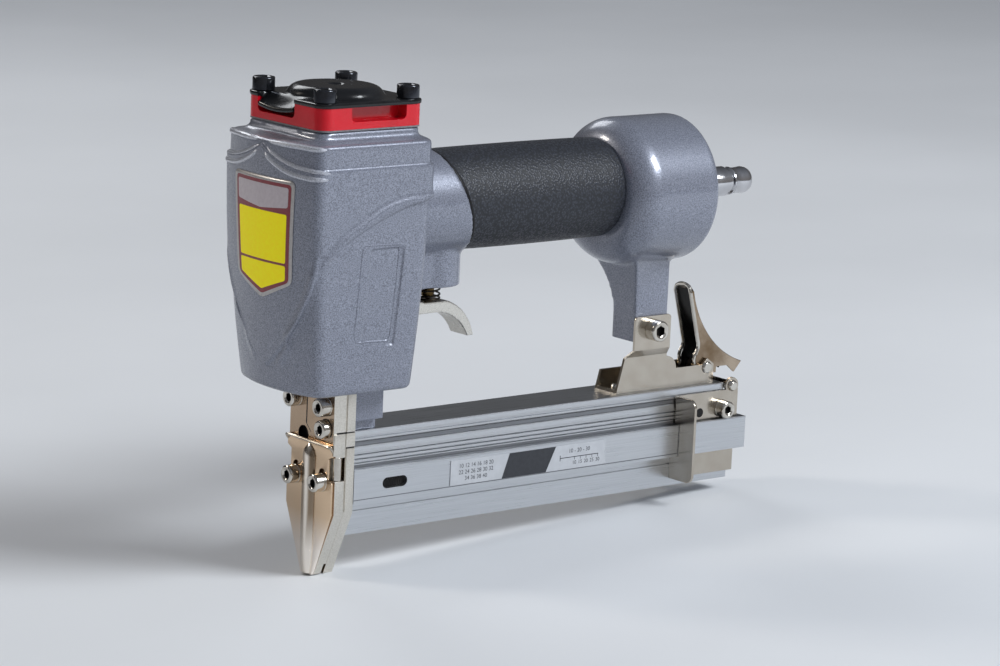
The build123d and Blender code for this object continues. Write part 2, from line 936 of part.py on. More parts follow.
lift_low_z = valve_bottom_z + valve_floor + lift_wire_r + seat_gap
lift_high_z = cap_low_z - lift_wire_r - seat_gap
lift_pitch = (lift_high_z - lift_low_z) / lift_turns
with BuildPart() as head_valve_spring:
    coil_tube(Plane.XY.offset(lift_low_z), lift_coil_r, lift_pitch, lift_turns, lift_wire_r)
head_valve_spring.part.label = "head_valve_spring"
export_step(head_valve_spring.part, "parts/head_valve_spring.step")
coil_gap("head_valve_spring", lift_coil_r, lift_pitch, lift_wire_r)

# Gasket and cylinder cap
with BuildPart() as cap_gasket:
    with BuildSketch(Plane.XY.offset(neck_top_z)):
        RectangleRounded(2 * cap_half, 2 * cap_half, cap_corner_r)
        Circle(chamber_r, mode=Mode.SUBTRACT)
        with cap_screw_spots:
            Circle(m5_r + slip_fit, mode=Mode.SUBTRACT)
    extrude(amount=gasket_thickness)
cap_gasket.part.label = "cap_gasket"
export_step(cap_gasket.part, "parts/cap_gasket.step")

notch_low_z = cap_low_z + notch_low
with BuildPart() as cylinder_cap:
    with BuildSketch(Plane.XY.offset(cap_low_z)):
        RectangleRounded(2 * cap_half, 2 * cap_half, cap_corner_r)
    extrude(amount=cap_height)
    with BuildSketch(Plane.XY.offset(cap_low_z)):
        Circle(skirt_r)
        Circle(skirt_r - skirt_wall, mode=Mode.SUBTRACT)
    extrude(amount=-skirt_depth)
    with BuildSketch(Plane.YZ.offset(-outside)) as front_notch:
        Polygon(
            (front_notch_left_y, notch_low_z),
            (front_notch_right_y, notch_low_z),
            (front_notch_right_y, cap_top_z + notch_low),
            (front_notch_left_y, cap_top_z + notch_low),
            align=None,
        )
        fillet(front_notch.vertices().group_by(Axis.Y)[0], notch_corner_r)
    extrude(amount=outside - cap_half + notch_depth, mode=Mode.SUBTRACT)
    for side in (-1, 1):
        with BuildSketch(Plane.XZ.offset(side * (cap_half - notch_depth))) as side_notch:
            Polygon(
                (side_notch_front_x, notch_low_z),
                (side_notch_rear_x, notch_low_z),
                (side_notch_rear_x, cap_top_z + notch_low),
                (side_notch_front_x, cap_top_z + notch_low),
                align=None,
            )
            fillet(side_notch.vertices().group_by(Axis.Y)[0], notch_corner_r)
        extrude(amount=side * outside, mode=Mode.SUBTRACT)
    disc(Plane.XY.offset(cap_low_z), exhaust_hole_r, cap_height, mode=Mode.SUBTRACT)
    block(
        (-cap_half, front_notch_left_y + notch_corner_r, cap_low_z + cap_height / 2),
        (0, front_notch_right_y - notch_corner_r, cap_top_z),
        mode=Mode.SUBTRACT,
    )
    with BuildSketch(Plane.XY.offset(cap_low_z)):
        with cap_screw_spots:
            Circle(m5_r + slip_fit)
    extrude(amount=cap_height, mode=Mode.SUBTRACT)
cylinder_cap.part.label = "cylinder_cap"
export_step(cylinder_cap.part, "parts/cylinder_cap.step")

# Exhaust plate, a stamping with a dome in the middle and a scoop bent down at the front
scoop_left_y = front_notch_left_y + free_gap
scoop_right_y = front_notch_right_y - free_gap
dome_z = plate_top_z + dome_height
with BuildPart() as exhaust_plate:
    with BuildSketch(Plane.XY.offset(cap_top_z)):
        RectangleRounded(2 * plate_half, 2 * plate_half, cap_corner_r)
        with cap_screw_spots:
            Circle(m5_r + slip_fit, mode=Mode.SUBTRACT)
    extrude(amount=plate_thickness)
    block(
        (-outside, scoop_left_y, cap_top_z),
        (scoop_root_x, scoop_right_y, plate_top_z),
        mode=Mode.SUBTRACT,
    )
    disc(Plane.XY.offset(cap_top_z), dome_r - plate_thickness, plate_thickness, mode=Mode.SUBTRACT)
    with BuildSketch(Plane.XZ):
        with BuildLine():
            Line((dome_r, cap_top_z), (dome_r, plate_top_z))
            RadiusArc((dome_r, plate_top_z), (dome_top_r, dome_z), -dome_height - plate_thickness)
            Polyline(
                (dome_top_r, dome_z),
                (dimple_r, dome_z),
                (dimple_r - dimple_depth, dome_z - dimple_depth),
                (0, dome_z - dimple_depth),
                (0, dome_z - dimple_depth - plate_thickness),
                (dimple_r, dome_z - dimple_depth - plate_thickness),
                (dome_top_r - plate_thickness, dome_z - plate_thickness),
            )
            RadiusArc(
                (dome_top_r - plate_thickness, dome_z - plate_thickness),
                (dome_r - plate_thickness, cap_top_z),
                dome_height + plate_thickness,
            )
            Line((dome_r - plate_thickness, cap_top_z), (dome_r, cap_top_z))
        make_face()
    revolve(axis=axis_of_driver)
    with BuildSketch(Plane.XZ.offset(-scoop_right_y)):
        Polygon(
            (scoop_root_x, cap_top_z),
            (scoop_root_x, plate_top_z),
            (scoop_tip_x, plate_top_z - scoop_drop),
            (scoop_tip_x, cap_top_z - scoop_drop),
            align=None,
        )
    extrude(amount=scoop_right_y - scoop_left_y)
exhaust_plate.part.label = "exhaust_plate"
export_step(exhaust_plate.part, "parts/exhaust_plate.step")

with BuildPart() as cap_screws:
    for spot in cap_screw_spots:
        socket_screw(
            Plane(spot.position + Vector(0, 0, plate_top_z)),
            m5_r,
            m5_head_r,
            m5_head_height,
            m5_hex,
            cap_screw_length,
        )
cap_screws.part.label = "cap_screws"
export_step(cap_screws.part, "parts/cap_screws.step")

# Trigger valve bush and stem
with BuildPart() as valve_bush:
    disc(Plane((valve_x, 0, boss_bottom_z)), bush_r, bush_length)
    disc(
        Plane((valve_x, 0, boss_bottom_z)),
        trigger_coil_r + trigger_wire_r + free_gap,
        spring_pocket,
        mode=Mode.SUBTRACT,
    )
    disc(Plane((valve_x, 0, boss_bottom_z)), stem_r + run_fit, bush_length, mode=Mode.SUBTRACT)
    ring_groove(Plane((valve_x, 0, (spring_seat_z + bush_top_z) / 2)), bush_r)
valve_bush.part.label = "valve_bush"
export_step(valve_bush.part, "parts/valve_bush.step")

with BuildPart() as valve_bush_seal:
    seal_ring(Plane((valve_x, 0, (spring_seat_z + bush_top_z) / 2)), bush_r - ring_r)
valve_bush_seal.part.label = "valve_bush_seal"
export_step(valve_bush_seal.part, "parts/valve_bush_seal.step")

with BuildPart() as valve_stem:
    stem_top_z = bush_top_z + seat_gap
    with BuildSketch(Plane.XZ):
        with BuildLine():
            ThreePointArc(
                (valve_x, stem_low_z),
                (valve_x + stem_r * sin(pi / 4), stem_low_z + stem_r * (1 - cos(pi / 4))),
                (valve_x + stem_r, stem_low_z + stem_r),
            )
            Polyline(
                (valve_x + stem_r, stem_low_z + stem_r),
                (valve_x + stem_r, stem_top_z),
                (valve_x + stem_head_r, stem_top_z),
                (valve_x + stem_head_r, stem_top_z + stem_head_length),
                (valve_x, stem_top_z + stem_head_length),
                (valve_x, stem_low_z),
            )
        make_face()
    revolve(axis=Axis((valve_x, 0, 0), (0, 0, 1)))
valve_stem.part.label = "valve_stem"
export_step(valve_stem.part, "parts/valve_stem.step")

coil_low_z = trigger_top_z + trigger_wire_r + seat_gap
coil_high_z = spring_seat_z - trigger_wire_r - seat_gap
trigger_pitch = (coil_high_z - coil_low_z) / trigger_turns
with BuildPart() as trigger_spring:
    coil_tube(
        Plane((valve_x, 0, coil_low_z)),
        trigger_coil_r,
        trigger_pitch,
        trigger_turns,
        trigger_wire_r,
    )
trigger_spring.part.label = "trigger_spring"
export_step(trigger_spring.part, "parts/trigger_spring.step")
coil_gap("trigger_spring", trigger_coil_r, trigger_pitch, trigger_wire_r)

# Trigger and its pin
with BuildPart() as trigger:
    with BuildSketch(Plane.XZ) as trigger_side:
        with BuildLine():
            Polyline(
                (trigger_pivot_x, trigger_pivot_z + trigger_pivot_r),
                (valve_x - trigger_flat, trigger_top_z),
                (valve_x + trigger_flat, trigger_top_z),
            )
            ThreePointArc(
                (valve_x + trigger_flat, trigger_top_z),
                (trigger_tip_x - trigger_knee_back, trigger_tip_z + trigger_knee_up),
                (trigger_tip_x, trigger_tip_z),
            )
            Line((trigger_tip_x, trigger_tip_z), (trigger_tip_x - trigger_tip_width, trigger_tip_z))
            ThreePointArc(
                (trigger_tip_x - trigger_tip_width, trigger_tip_z),
                (
                    trigger_tip_x - trigger_knee_back - trigger_thickness * sin(pi / 4),
                    trigger_tip_z + trigger_knee_up - trigger_thickness * cos(pi / 4),
                ),
                (valve_x, trigger_top_z - trigger_thickness),
            )
            Polyline(
                (valve_x, trigger_top_z - trigger_thickness),
                (trigger_pivot_x, trigger_pivot_z - trigger_pivot_r),
                (trigger_pivot_x, trigger_pivot_z + trigger_pivot_r),
            )
        make_face()
        with Locations((trigger_pivot_x, trigger_pivot_z)):
            Circle(trigger_pivot_r)
    extrude(amount=trigger_half_width, both=True)
    with BuildSketch(Plane.XZ):
        with Locations((trigger_pivot_x, trigger_pivot_z)):
            Circle(trigger_pin_r + run_fit)
    extrude(amount=outside, both=True, mode=Mode.SUBTRACT)
trigger.part.label = "trigger"
export_step(trigger.part, "parts/trigger.step")

with BuildPart() as trigger_pin:
    disc(
        Plane((trigger_pivot_x, ear_half, trigger_pivot_z), x_dir=(1, 0, 0), z_dir=(0, -1, 0)),
        trigger_pin_r,
        2 * ear_half,
    )
trigger_pin.part.label = "trigger_pin"
export_step(trigger_pin.part, "parts/trigger_pin.step")


def nose_outline(half_width, tip_half, high_z):
    """The front view of a nose plate: straight sides that taper to the tip."""
    Polygon(
        (-tip_half, 0),
        (tip_half, 0),
        (half_width, nose_taper_z),
        (half_width, high_z),
        (-half_width, high_z),
        (-half_width, nose_taper_z),
        align=None,
    )


upper_spots = [(-upper_screw_y, upper_screw_z), (upper_screw_y, upper_screw_z)]
middle_spots = [(middle_screw_y, middle_screw_z)]
lower_spots = [(-lower_screw_y, lower_screw_z), (lower_screw_y, lower_screw_z)]


def nose_screw_holes(spots):
    """Screw holes through a nose plate, drilled along the handle's direction."""
    with BuildSketch(Plane.YZ.offset(-outside)) as holes:
        with Locations(*spots):
            Circle(m4_r + slip_fit)
    extrude(holes.sketch, amount=2 * outside, mode=Mode.SUBTRACT)


# Nose plates
with BuildPart() as nose_rear_plate:
    with BuildSketch(Plane.YZ.offset(split_x)):
        nose_outline(nose_half, nose_tip_half, head_bottom_z)
    extrude(amount=rear_plate_thickness)
    block(
        (split_x, -blade_half_width - slide_gap / 2, -free_gap),
        (
            blade_thickness / 2 + slide_gap / 2,
            blade_half_width + slide_gap / 2,
            head_bottom_z + free_gap,
        ),
        mode=Mode.SUBTRACT,
    )
    block(
        (split_x, -channel_half, mag_bottom_z + channel_floor),
        (outside, channel_half, rail_foot_low_z),
        mode=Mode.SUBTRACT,
    )
    nose_screw_holes(upper_spots + middle_spots + lower_spots)
nose_rear_plate.part.label = "nose_rear_plate"
export_step(nose_rear_plate.part, "parts/nose_rear_plate.step")

with BuildPart() as driver_guide:
    with BuildSketch(Plane.YZ.offset(guide_front_x)):
        nose_outline(nose_half, nose_tip_half, head_bottom_z)
    extrude(amount=guide_thickness)
    with BuildSketch(Plane.YZ.offset(guide_front_x)):
        Polygon(
            (-nose_half, land_low_z),
            (land_edge_y - land_slant, land_low_z),
            (land_edge_y, land_low_z + land_slant),
            (land_edge_y, head_bottom_z),
            (-nose_half, head_bottom_z),
            align=None,
        )
    extrude(amount=-land_thickness)
    for side in (-1, 1):
        block(
            (
                guide_front_x,
                side * (nose_half - side_notch_depth / 2) - side_notch_depth / 2,
                side_notch_low_z,
            ),
            (
                split_x,
                side * (nose_half - side_notch_depth / 2) + side_notch_depth / 2,
                side_notch_high_z,
            ),
            mode=Mode.SUBTRACT,
        )
    block(
        (split_x - blade_thickness, -outside, -free_gap),
        (split_x, outside, tip_slot_height),
        mode=Mode.SUBTRACT,
    )
    with BuildSketch(Plane.YZ.offset(-outside)):
        with Locations((relief_hole_y, relief_hole_z)):
            Circle(relief_hole_r)
    extrude(amount=outside + guide_front_x + guide_thickness / 2, mode=Mode.SUBTRACT)
    with BuildSketch(Plane.YZ.offset(-outside)):
        with Locations(*middle_spots):
            Circle(m4_head_r + free_gap)
    extrude(amount=outside + guide_front_x, mode=Mode.SUBTRACT)
    nose_screw_holes(upper_spots + middle_spots + lower_spots)
driver_guide.part.label = "driver_guide"
export_step(driver_guide.part, "parts/driver_guide.step")

with BuildPart() as nose_cover:
    with BuildSketch(Plane.YZ.offset(cover_front_x)):
        nose_outline(cover_half, nose_tip_half, cover_top_z)
    extrude(amount=cover_thickness)
    with BuildSketch(Plane.YZ.offset(cover_front_x)):
        Polygon(
            (-cover_rib_half, cover_rib_low_z),
            (0, cover_rib_low_z - cover_rib_point),
            (cover_rib_half, cover_rib_low_z),
            (cover_rib_half, cover_rib_top_z - cover_rib_point),
            (0, cover_rib_top_z),
            (-cover_rib_half, cover_rib_top_z - cover_rib_point),
            align=None,
        )
    extrude(amount=-cover_rib_height, taper=cover_rib_taper)
    block(
        (cover_front_x - cover_lip, -cover_half, cover_top_z - cover_thickness),
        (cover_front_x, cover_half, cover_top_z),
    )
    with BuildSketch(Plane.YZ.offset(-outside)):
        with Locations(*lower_spots):
            Circle(m4_r + slip_fit)
        for spot_y, spot_z in lower_spots:
            with Locations((spot_y, spot_z + keyhole_rise / 2)):
                Rectangle(2 * (m4_r + slip_fit), keyhole_rise)
            with Locations((spot_y, spot_z + keyhole_rise)):
                Circle(m4_r + slip_fit)
    extrude(amount=2 * outside, mode=Mode.SUBTRACT)
nose_cover.part.label = "nose_cover"
export_step(nose_cover.part, "parts/nose_cover.step")

# Nose screws and their washers; seats face forward
left_seat_x = land_front_x
right_seat_x = guide_front_x


def forward_seat(x, y, z):
    """A plane on the nose that faces forward."""
    return Plane((x, y, z), x_dir=(0, 1, 0), z_dir=(-1, 0, 0))


def nose_screw(x, y, z, rear_x):
    """An M4 screw on its washer, reaching back to a given depth."""
    seat_x = x - washer_thickness
    socket_screw(
        forward_seat(seat_x, y, z), m4_r, m4_head_r, m4_head_height, m4_hex, rear_x - seat_x
    )


with BuildPart() as upper_nose_screws:
    nose_screw(left_seat_x, -upper_screw_y, upper_screw_z, nose_rear_x + upper_screw_depth)
    nose_screw(right_seat_x, upper_screw_y, upper_screw_z, nose_rear_x + upper_screw_depth)
    nose_screw(guide_front_x, middle_screw_y, middle_screw_z, nose_rear_x - seat_gap)
upper_nose_screws.part.label = "upper_nose_screws"
export_step(upper_nose_screws.part, "parts/upper_nose_screws.step")

with BuildPart() as lower_nose_screws:
    for spot_y, spot_z in lower_spots:
        nose_screw(cover_front_x, spot_y, spot_z, nose_rear_x - seat_gap)
lower_nose_screws.part.label = "lower_nose_screws"
export_step(lower_nose_screws.part, "parts/lower_nose_screws.step")

washer_seats = [
    forward_seat(left_seat_x, -upper_screw_y, upper_screw_z),
    forward_seat(right_seat_x, upper_screw_y, upper_screw_z),
    forward_seat(guide_front_x, middle_screw_y, middle_screw_z),
    forward_seat(cover_front_x, -lower_screw_y, lower_screw_z),
    forward_seat(cover_front_x, lower_screw_y, lower_screw_z),
]
with BuildPart() as nose_washers:
    for seat in washer_seats:
        with BuildSketch(seat):
            Circle(washer_r)
            Circle(m4_r + slip_fit, mode=Mode.SUBTRACT)
        extrude(amount=washer_thickness)
nose_washers.part.label = "nose_washers"
export_step(nose_washers.part, "parts/nose_washers.step")

with BuildPart() as guide_pins:
    for side in (-1, 1):
        disc(
            Plane(
                (
                    split_x - guide_thickness / 2,
                    side * (nose_half - side_notch_depth / 2),
                    side_notch_low_z,
                )
            ),
            guide_pin_r,
            side_notch_high_z - side_notch_low_z,
        )
guide_pins.part.label = "guide_pins"
export_step(guide_pins.part, "parts/guide_pins.step")

# Fixed rail, a plate with a T foot that the magazine hangs from
with BuildPart() as fixed_rail:
    block((mag_front_x, -rail_half, rail_low_z), (rail_rear_x, rail_half, rail_top_z))
    block(
        (mag_front_x, -rail_stem_half, rail_foot_high_z),
        (rail_rear_x, rail_stem_half, rail_low_z),
    )
    block(
        (mag_front_x, -rail_foot_half, rail_foot_low_z),
        (rail_rear_x, rail_foot_half, rail_foot_high_z),
    )
    disc(
        Plane((rail_screw_x, 0, rail_foot_low_z)),
        rail_screw_head_r + slip_fit,
        rail_screw_head_height + seat_gap,
        mode=Mode.SUBTRACT,
    )
    disc(
        Plane((rail_screw_x, 0, rail_foot_low_z)),
        rail_screw_r + slip_fit,
        outside,
        mode=Mode.SUBTRACT,
    )
    for rivet_x in (rivet_front_x, rivet_rear_x):
        disc(
            Plane((rivet_x, 0, rail_top_z)),
            rivet_r + slip_fit,
            -rivet_grip,
            mode=Mode.SUBTRACT,
        )
fixed_rail.part.label = "fixed_rail"
export_step(fixed_rail.part, "parts/fixed_rail.step")

with BuildPart() as rail_screw:
    socket_screw(
        Plane((rail_screw_x, 0, rail_screw_seat_z), x_dir=(1, 0, 0), z_dir=(0, 0, -1)),
        rail_screw_r,
        rail_screw_head_r,
        rail_screw_head_height,
        rail_screw_head_r,
        rail_screw_length,
    )
rail_screw.part.label = "rail_screw"
export_step(rail_screw.part, "parts/rail_screw.step")

# Sliding magazine
with BuildPart() as slide_magazine:
    block((mag_front_x, -skirt_half, mag_bottom_z), (mag_rear_x, skirt_half, band_low_z))
    block((mag_front_x, -band_half, band_low_z), (band_rear_x, band_half, band_high_z))
    block((mag_front_x, -mag_half, band_high_z), (mag_rear_x, mag_half, mag_top_z))
    for rib in range(rib_count):
        rib_z = rib_first_z + rib * rib_pitch
        block((mag_front_x, -rib_top_y, rib_z), (mag_rear_x, rib_top_y, rib_z + rib_width))
    for side in (-1, 1):
        groove_z = band_low_z - groove_drop
        block(
            (mag_front_x, side * skirt_half - groove_size, groove_z - groove_size),
            (mag_rear_x, side * skirt_half + groove_size, groove_z),
            mode=Mode.SUBTRACT,
        )
    block(
        (mag_front_x, -rail_stem_half - slide_gap, rail_foot_low_z - slide_gap),
        (mag_rear_x, rail_stem_half + slide_gap, mag_top_z),
        mode=Mode.SUBTRACT,
    )
    block(
        (mag_front_x, -rail_foot_half - slide_gap, rail_foot_low_z - slide_gap),
        (mag_rear_x, rail_foot_half + slide_gap, rail_foot_high_z + slide_gap),
        mode=Mode.SUBTRACT,
    )
    block(
        (mag_front_x, -channel_half, mag_bottom_z + channel_floor),
        (mag_rear_x - stop_length, channel_half, rail_foot_low_z),
        mode=Mode.SUBTRACT,
    )
    block(
        (tunnel_front_x, channel_half, band_mid_z - tunnel_half_height),
        (band_rear_x, tunnel_depth, band_mid_z + tunnel_half_height),
        mode=Mode.SUBTRACT,
    )
    disc(
        Plane((mag_front_x, rod_y, band_mid_z), x_dir=(0, 1, 0), z_dir=(1, 0, 0)),
        rod_r + slip_fit,
        tunnel_front_wall,
        mode=Mode.SUBTRACT,
    )
    with BuildSketch(Plane.XZ):
        with Locations((window_x, band_mid_z)):
            SlotOverall(window_length, window_height)
    extrude(amount=outside, mode=Mode.SUBTRACT)
    for side in (-1, 1):
        disc(
            Plane(
                (tail_screw_x, side * rib_top_y, tail_screw_z),
                x_dir=(1, 0, 0),
                z_dir=(0, -side, 0),
            ),
            m4_r + slip_fit,
            tail_screw_depth,
            mode=Mode.SUBTRACT,
        )
slide_magazine.part.label = "slide_magazine"
export_step(slide_magazine.part, "parts/slide_magazine.step")

with BuildPart() as size_label:
    block(
        (label_front_x, -band_half - label_thickness, band_low_z + label_margin),
        (label_rear_x, -band_half, band_high_z - label_margin),
    )
size_label.part.label = "size_label"
export_step(size_label.part, "parts/size_label.step")


def tail_plate(side):
    """One tail plate: sheet on the magazine's side, its front edge bent out as a pull flange."""
    near = side * rib_top_y
    far = side * (rib_top_y + sheet)
    low_y, high_y = min(near, far), max(near, far)
    with BuildSketch(Plane.XZ.offset(-low_y)) as side_view:
        Polygon(
            (flange_x, band_high_z + slide_gap),
            (tail_rear_x, band_high_z + slide_gap),
            (tail_rear_x, tail_high_z),
            (flange_x, tail_high_z),
            align=None,
        )
        with Locations((catch_x, catch_z)):
            Circle(catch_ear_r)
    extrude(side_view.sketch, amount=low_y - high_y)
    skirt_near = side * skirt_half
    skirt_far = side * (skirt_half + sheet)
    block(
        (flange_x, min(skirt_near, skirt_far), tail_low_z),
        (tail_rear_x, max(skirt_near, skirt_far), band_low_z - slide_gap),
    )
    with BuildSketch(Plane.YZ.offset(flange_x)) as front_view:
        Polygon(
            (skirt_near, tail_low_z),
            (side * flange_out, tail_low_z),
            (side * flange_out, tail_high_z),
            (near, tail_high_z),
            (near, band_high_z + slide_gap),
            (side * (band_half + slide_gap), band_high_z + slide_gap),
            (side * (band_half + slide_gap), band_low_z - slide_gap),
            (skirt_near, band_low_z - slide_gap),
            align=None,
        )
        outer = [v for v in front_view.vertices() if abs(v.X) > flange_out - slide_gap]
        fillet(outer, flange_corner_r)
    extrude(front_view.sketch, amount=sheet)
    with BuildSketch(Plane.XZ) as holes:
        with Locations((catch_x, catch_z)):
            Circle(catch_r + slip_fit)
        with Locations((tail_screw_x, tail_screw_z)):
            Circle(m4_r + slip_fit)
    extrude(holes.sketch, amount=outside, both=True, mode=Mode.SUBTRACT)


with BuildPart() as left_tail_plate:
    tail_plate(-1)
left_tail_plate.part.label = "left_tail_plate"
export_step(left_tail_plate.part, "parts/left_tail_plate.step")

with BuildPart() as right_tail_plate:
    tail_plate(1)
right_tail_plate.part.label = "right_tail_plate"
export_step(right_tail_plate.part, "parts/right_tail_plate.step")

tail_face_y = rib_top_y + sheet


def tail_seat(side):
    """The plane on a tail plate that its screw and washer stand on."""
    return Plane(
        (tail_screw_x, side * tail_face_y, tail_screw_z), x_dir=(1, 0, 0), z_dir=(0, side, 0)
    )


with BuildPart() as tail_washers:
    for side in (-1, 1):
        with BuildSketch(tail_seat(side)):
            Circle(washer_r)
            Circle(m4_r + slip_fit, mode=Mode.SUBTRACT)
        extrude(amount=washer_thickness)
tail_washers.part.label = "tail_washers"
export_step(tail_washers.part, "parts/tail_washers.step")

with BuildPart() as tail_screws:
    for side in (-1, 1):
        socket_screw(
            tail_seat(side).offset(washer_thickness),
            m4_r,
            m4_head_r,
            m4_head_height,
            m4_hex,
            washer_thickness + sheet + tail_screw_depth - seat_gap,
        )
tail_screws.part.label = "tail_screws"
export_step(tail_screws.part, "parts/tail_screws.step")

# Catch pin across the tail plates, with domed heads
with BuildPart() as catch_pin:
    disc(
        Plane((catch_x, tail_face_y, catch_z), x_dir=(1, 0, 0), z_dir=(0, -1, 0)),
        catch_r,
        2 * tail_face_y,
    )
    for side in (-1, 1):
        with BuildSketch(Plane((catch_x, side * tail_face_y, catch_z), z_dir=(0, side, 0))):
            Circle(catch_r + catch_dome / 2)
        extrude(amount=catch_dome, taper=head_taper)
catch_pin.part.label = "catch_pin"
export_step(catch_pin.part, "parts/catch_pin.step")

# Pusher, its rod, its spring and the spring's stop
carriage_half_height = tunnel_half_height - slide_gap
carriage_front_x = tunnel_front_x + slide_gap
carriage_rear_x = carriage_front_x + carriage_length
along_rod = Plane((0, rod_y, band_mid_z), x_dir=(0, 1, 0), z_dir=(1, 0, 0))
with BuildPart() as pusher:
    block(
        (mag_front_x + seat_gap, -pusher_thickness / 2, mag_bottom_z + channel_floor + slide_gap),
        (mag_front_x + pusher_length, pusher_thickness / 2, rail_foot_low_z - slide_gap),
    )
    block(
        (carriage_front_x, -pusher_thickness / 2, band_mid_z - carriage_half_height),
        (carriage_rear_x, tunnel_depth - slide_gap, band_mid_z + carriage_half_height),
    )
    disc(along_rod, rod_r + run_fit, outside, mode=Mode.SUBTRACT)
pusher.part.label = "pusher"
export_step(pusher.part, "parts/pusher.step")

stop_front_x = band_rear_x - stop_length
with BuildPart() as spring_stop:
    block(
        (stop_front_x, channel_half + slip_fit, band_mid_z - tunnel_half_height + slip_fit),
        (band_rear_x, tunnel_depth - slip_fit, band_mid_z + tunnel_half_height - slip_fit),
    )
    disc(along_rod, rod_r + slip_fit, outside * 2, mode=Mode.SUBTRACT)
spring_stop.part.label = "spring_stop"
export_step(spring_stop.part, "parts/spring_stop.step")

with BuildPart() as pusher_rod:
    disc(along_rod.offset(mag_front_x), rod_r, band_rear_x - mag_front_x)
pusher_rod.part.label = "pusher_rod"
export_step(pusher_rod.part, "parts/pusher_rod.step")

pusher_coil_start = carriage_rear_x + pusher_wire_r + seat_gap
pusher_coil_end = stop_front_x - pusher_wire_r - seat_gap
pusher_pitch = (pusher_coil_end - pusher_coil_start) / pusher_turns
with BuildPart() as pusher_spring:
    coil_tube(
        along_rod.offset(pusher_coil_start), pusher_coil_r, pusher_pitch, pusher_turns, pusher_wire_r
    )
pusher_spring.part.label = "pusher_spring"
export_step(pusher_spring.part, "parts/pusher_spring.step")
coil_gap("pusher_spring", pusher_coil_r, pusher_pitch, pusher_wire_r)

# Rear bracket: a channel on the rail whose sides joggle out to hold the leg
with BuildPart() as bracket_outline:
    with BuildSketch(Plane.XZ) as bracket_side:
        with BuildLine():
            Polyline(
                (bracket_front_x, bracket_low_z),
                (bracket_slant_x, bracket_slant_z),
                (tab_front_x, joggle_high_z),
                (tab_front_x, tab_high_z),
                (tab_rear_x, tab_high_z),
                (tab_rear_x, bracket_dip_z + bracket_dip_r),
            )
            RadiusArc(
                (tab_rear_x, bracket_dip_z + bracket_dip_r),
                (bracket_dip_x, bracket_dip_z),
                bracket_dip_r,
            )
            Polyline(
                (bracket_dip_x, bracket_dip_z),
                (latch_pivot_x - latch_pin_head_r, bracket_dip_z),
                (latch_pivot_x, latch_pivot_z + latch_pin_head_r + sheet),
                (bracket_rear_x, latch_pivot_z + latch_pin_head_r / 2),
                (bracket_rear_x, bracket_low_z),
                (bracket_front_x, bracket_low_z),
            )
        make_face()
        fillet(bracket_side.vertices().group_by(Axis.Y)[-1], tab_corner_r)
    extrude(amount=outside, both=True)

bracket_inner = bracket_half - sheet
with BuildPart() as rear_bracket:
    with BuildSketch(Plane.YZ.offset(bracket_front_x)):
        Polygon(
            (-bracket_half, bracket_low_z),
            (bracket_half, bracket_low_z),
            (bracket_half, joggle_low_z),
            (tab_outer, joggle_high_z),
            (tab_outer, tab_high_z),
            (tab_inner, tab_high_z),
            (tab_inner, joggle_high_z),
            (bracket_inner, joggle_low_z),
            (bracket_inner, bracket_floor_z),
            (-bracket_inner, bracket_floor_z),
            (-bracket_inner, joggle_low_z),
            (-tab_inner, joggle_high_z),
            (-tab_inner, tab_high_z),
            (-tab_outer, tab_high_z),
            (-tab_outer, joggle_high_z),
            (-bracket_half, joggle_low_z),
            align=None,
        )
    extrude(amount=bracket_rear_x - bracket_front_x)
    add(bracket_outline.part, mode=Mode.INTERSECT)
    # The right wall stays low ahead of the latch; only the left wall has a tab
    block(
        (bracket_front_x, 0, bracket_dip_z),
        (bracket_dip_x, outside, outside),
        mode=Mode.SUBTRACT,
    )
    with BuildSketch(Plane.XZ):
        with Locations((bracket_screw_x, bracket_screw_z)):
            Circle(m5_r + slip_fit)
        with Locations((latch_pivot_x, latch_pivot_z)):
            Circle(latch_pin_r + slip_fit)
    extrude(amount=outside, both=True, mode=Mode.SUBTRACT)
    for rivet_x in (rivet_front_x, rivet_rear_x):
        disc(Plane((rivet_x, 0, bracket_low_z)), rivet_r + slip_fit, sheet, mode=Mode.SUBTRACT)
rear_bracket.part.label = "rear_bracket"
export_step(rear_bracket.part, "parts/rear_bracket.step")

bracket_screw_length = tab_outer + leg_half_width + nut_height
with BuildPart() as bracket_screw:
    socket_screw(
        Plane((bracket_screw_x, -tab_outer, bracket_screw_z), x_dir=(1, 0, 0), z_dir=(0, -1, 0)),
        m5_r,
        m5_head_r,
        m5_head_height,
        m5_hex,
        bracket_screw_length,
    )
bracket_screw.part.label = "bracket_screw"
export_step(bracket_screw.part, "parts/bracket_screw.step")

with BuildPart() as bracket_nut:
    with BuildSketch(
        Plane((bracket_screw_x, leg_half_width, bracket_screw_z), x_dir=(1, 0, 0), z_dir=(0, 1, 0))
    ):
        RegularPolygon(nut_width / 2, 6, major_radius=False)
        Circle(m5_r + slip_fit, mode=Mode.SUBTRACT)
    extrude(amount=nut_height)
bracket_nut.part.label = "bracket_nut"
export_step(bracket_nut.part, "parts/bracket_nut.step")

with BuildPart() as bracket_rivets:
    for rivet_x in (rivet_front_x, rivet_rear_x):
        disc(Plane((rivet_x, 0, bracket_floor_z)), rivet_r, -sheet - rivet_grip + seat_gap)
        with BuildSketch(Plane((rivet_x, 0, bracket_floor_z))):
            Circle(rivet_head_r)
        extrude(amount=rivet_head_height, taper=head_taper)
bracket_rivets.part.label = "bracket_rivets"
export_step(bracket_rivets.part, "parts/bracket_rivets.step")

# Latch lever: cheeks and an arched back, open at the front
def latch_arc_point(x, radius):
    """The point at a given X on the lower left of a circle about the centre of the back's arc."""
    return (x, latch_arc_z - sqrt(radius**2 - (x - latch_arc_x) ** 2))


